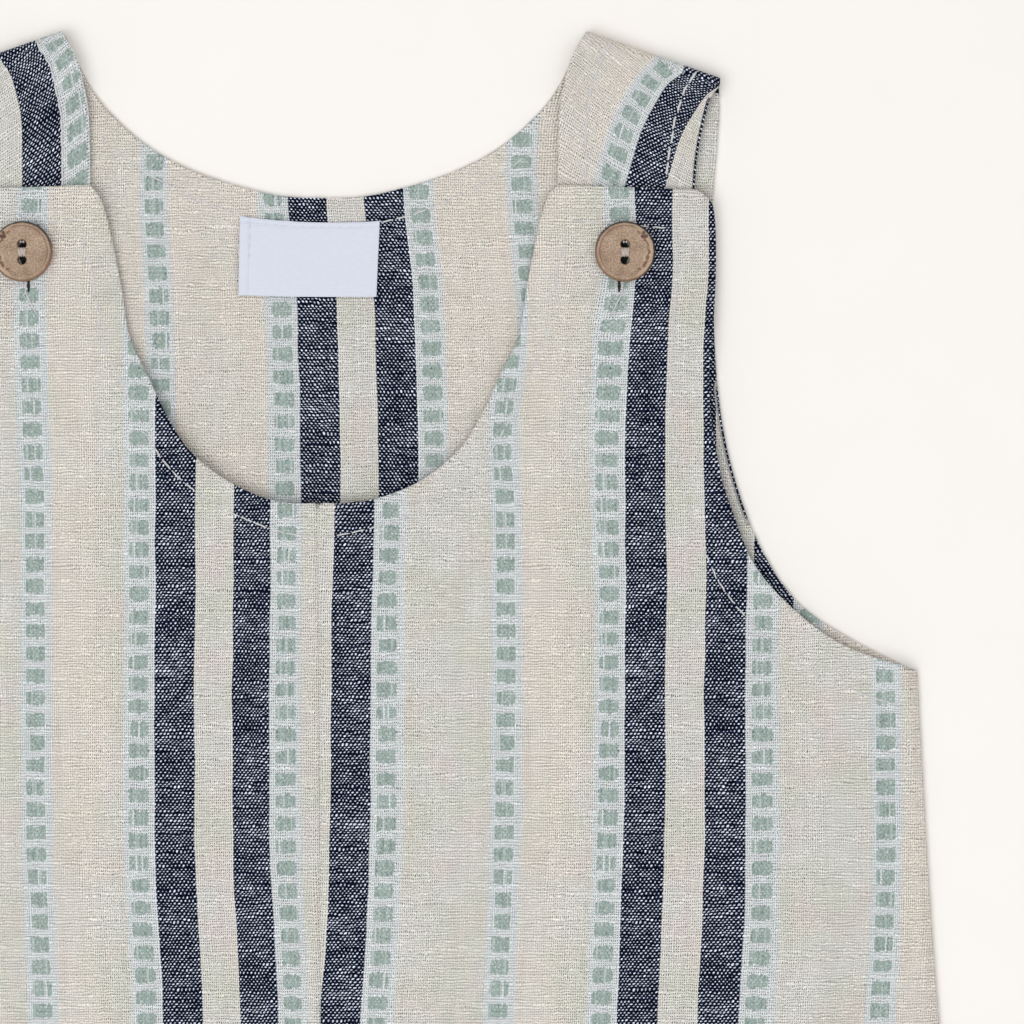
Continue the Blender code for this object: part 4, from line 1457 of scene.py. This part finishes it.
def slit_at(down):
    """Middle and half width of the buttonhole, which the button's shank pulls open."""
    pulled = math.exp(-(((down - BUTTON_PLACE[1]) / 3.6) ** 2))
    middle = SLIT_X + (BUTTON_PLACE[0] - SLIT_X) * pulled
    ends = min(1.0, (down - SLIT_TOP) / 0.8, (SLIT_BOTTOM - down) / 0.8)
    return middle, (0.36 + 0.8 * pulled) * max(ends, 0.25)


def make_buttonhole(name, side, tree, thread, slit_shade_material):
    """A dark sheet of painted shade in the slit that the button passes through, its stitched edges,
    and the loose threads.
    """
    luck = np.random.default_rng(21)
    slit_shade_builder = bmesh.new()
    rows = []
    for down in np.arange(SLIT_TOP, SLIT_BOTTOM + 0.01, 0.25):
        middle, half = slit_at(down)
        row = []
        for way in (-1, 0, 1):
            x = side * (middle + way * half * luck.uniform(0.6, 1.25))
            height = top_of(tree, x, down) + 0.05 - 0.03 * abs(way)
            row.append(slit_shade_builder.verts.new(place(x, down, height)))
        rows.append(row)
    for upper, lower in zip(rows, rows[1:]):
        for i in range(2):
            slit_shade_builder.faces.new((upper[i], lower[i], lower[i + 1], upper[i + 1]))
    # the sheet is painted shade, standing for the shadow inside the slit
    slit = finish_mesh(slit_shade_builder, name + "_slit_shade", slit_shade_material)

    builder = bmesh.new()
    for down in np.arange(SLIT_TOP + 0.3, SLIT_BOTTOM - 1.2, BAR_PITCH):
        middle, half = slit_at(down)
        for way in (-1, 1):
            path = []
            for share in np.linspace(0.0, 1.0, 5):
                x = side * (middle + way * (half + 0.7 * share + 0.05 * luck.uniform(-1, 1)))
                height = top_of(tree, x, down) + 0.03 + 0.12 * math.sin(math.pi * share)
                path.append(points_at(x, down - 0.06 * luck.uniform(-1, 1), height))
            add_cord(builder, path, BAR_RADIUS, sides=5)
    for thread_line in LOOSE_THREADS:
        line = spaced(np.array(thread_line), 0.5) * np.array([side, 1.0])
        path = [points_at(x, down, top_of(tree, x, down) + 0.14) for x, down in line]
        add_cord(builder, path, LOOSE_RADIUS)
    return finish_mesh(builder, name, thread), slit


# ---------------------------------------------------------------- putting it together
def ride(piece, slot, *nodes):
    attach(piece, "root")
    if nodes:
        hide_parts(*nodes)


face_linen = linen("striped linen", FACE_WEAVE)
inside_linen = linen("striped linen inside", INSIDE_WEAVE)
thread = thread_material("sewing thread", THREAD)
label_thread = thread_material("label thread", LABEL_WHITE)
button_thread = thread_material("button thread", BUTTON_THREAD)
shell = shell_material()
# painted shade: a dark sheet stands for the shadow inside each buttonhole's slit
slit_shade = plain_material("slit", rgb(30, 36, 34))

back = make_back(inside_linen)
front_left = make_front(
    "front_left_cloth", 1, LEFT_STRIPE_X, FRONT_LEFT_SWAY, FRONT_LEFT_SWAY_X, face_linen
)
front_right = make_front(
    "front_right_cloth", -1, RIGHT_STRIPE_X, FRONT_RIGHT_SWAY, FRONT_RIGHT_SWAY_X, face_linen
)
back_tree, left_tree, right_tree = (surface_under(piece) for piece in (back, front_left, front_right))
label = make_label(label_material())
label_tree = surface_under(label)

ride(back, "back_linen", "back")
ride(front_left, "front_left_linen", "front_left")
ride(front_right, "front_right_linen", "front_right")
ride(label, "label_weave", "label")

sewn_back = back_stitches(back_tree, thread)
ride(sewn_back, "back_linen")
sewn_left = front_stitches("front_left_stitches", 1, left_tree, thread)
ride(sewn_left, "front_left_linen")
sewn_right = front_stitches("front_right_stitches", -1, right_tree, thread)
ride(sewn_right, "front_right_linen")
sewn_label = label_stitches(label_tree, label_thread)
ride(sewn_label, "label_weave")

for word, side, tree in (("left", 1, left_tree), ("right", -1, right_tree)):
    button, threads = make_button(f"button_{word}_shell", side, f"button_{word}", shell, button_thread)
    ride(button, f"button_{word}_shell", f"button_{word}")
    ride(threads, f"button_{word}_shell")
    bars, slit = make_buttonhole(f"buttonhole_{word}", side, tree, thread, slit_shade)
    ride(bars, f"front_{word}_linen")
    ride(slit, f"front_{word}_linen")

# ---------------------------------------------------------------- floor, light and camera
PIXEL = 0.22  # millimetres across one pixel of the photograph
PHOTO_SIZE = 1024
PHOTO_MIDDLE_X = 324
PHOTO_TOP_Y = 30
LENS = 200.0
SENSOR = 36.0

bpy.ops.mesh.primitive_plane_add(size=8.0, location=(0.0, 0.0, -0.0002))
floor = bpy.context.active_object
floor.name = "floor"
floor.data.materials.append(plain_material("pale floor", rgb(255, 251, 246)))


def soft_light(name, location, size, power, colour=(1.0, 1.0, 1.0)):
    data = bpy.data.lights.new(name, "AREA")
    data.shape = "DISK"
    data.size = size
    data.energy = power
    data.color = colour
    lamp = bpy.data.objects.new(name, data)
    lamp.location = location
    lamp.rotation_euler = (-Vector(location)).to_track_quat("-Z", "Y").to_euler()
    bpy.context.scene.collection.objects.link(lamp)


soft_light("key", (-0.7, -0.55, 1.9), 2.0, 19.3)
soft_light("fill", (1.1, 0.8, 1.8), 1.6, 4.9)

world = bpy.data.worlds.new("studio")
world.use_nodes = True
sky = world.node_tree.nodes["Background"]
sky.inputs["Color"].default_value = (1.0, 1.0, 1.0, 1.0)
sky.inputs["Strength"].default_value = 0.587
bpy.context.scene.world = world
bpy.context.scene.view_settings.view_transform = "Standard"

view_width = PHOTO_SIZE * PIXEL * MM
camera_data = bpy.data.cameras.new("camera")
camera_data.lens = LENS
camera_data.sensor_width = SENSOR
camera = bpy.data.objects.new("camera", camera_data)
camera.location = (
    (PHOTO_SIZE / 2 - PHOTO_MIDDLE_X) * PIXEL * MM,
    (LENGTH / 2 - (PHOTO_SIZE / 2 - PHOTO_TOP_Y) * PIXEL) * MM,
    view_width * LENS / SENSOR + 0.003,
)
bpy.context.scene.collection.objects.link(camera)
bpy.context.scene.camera = camera

bpy.context.view_layer.update()
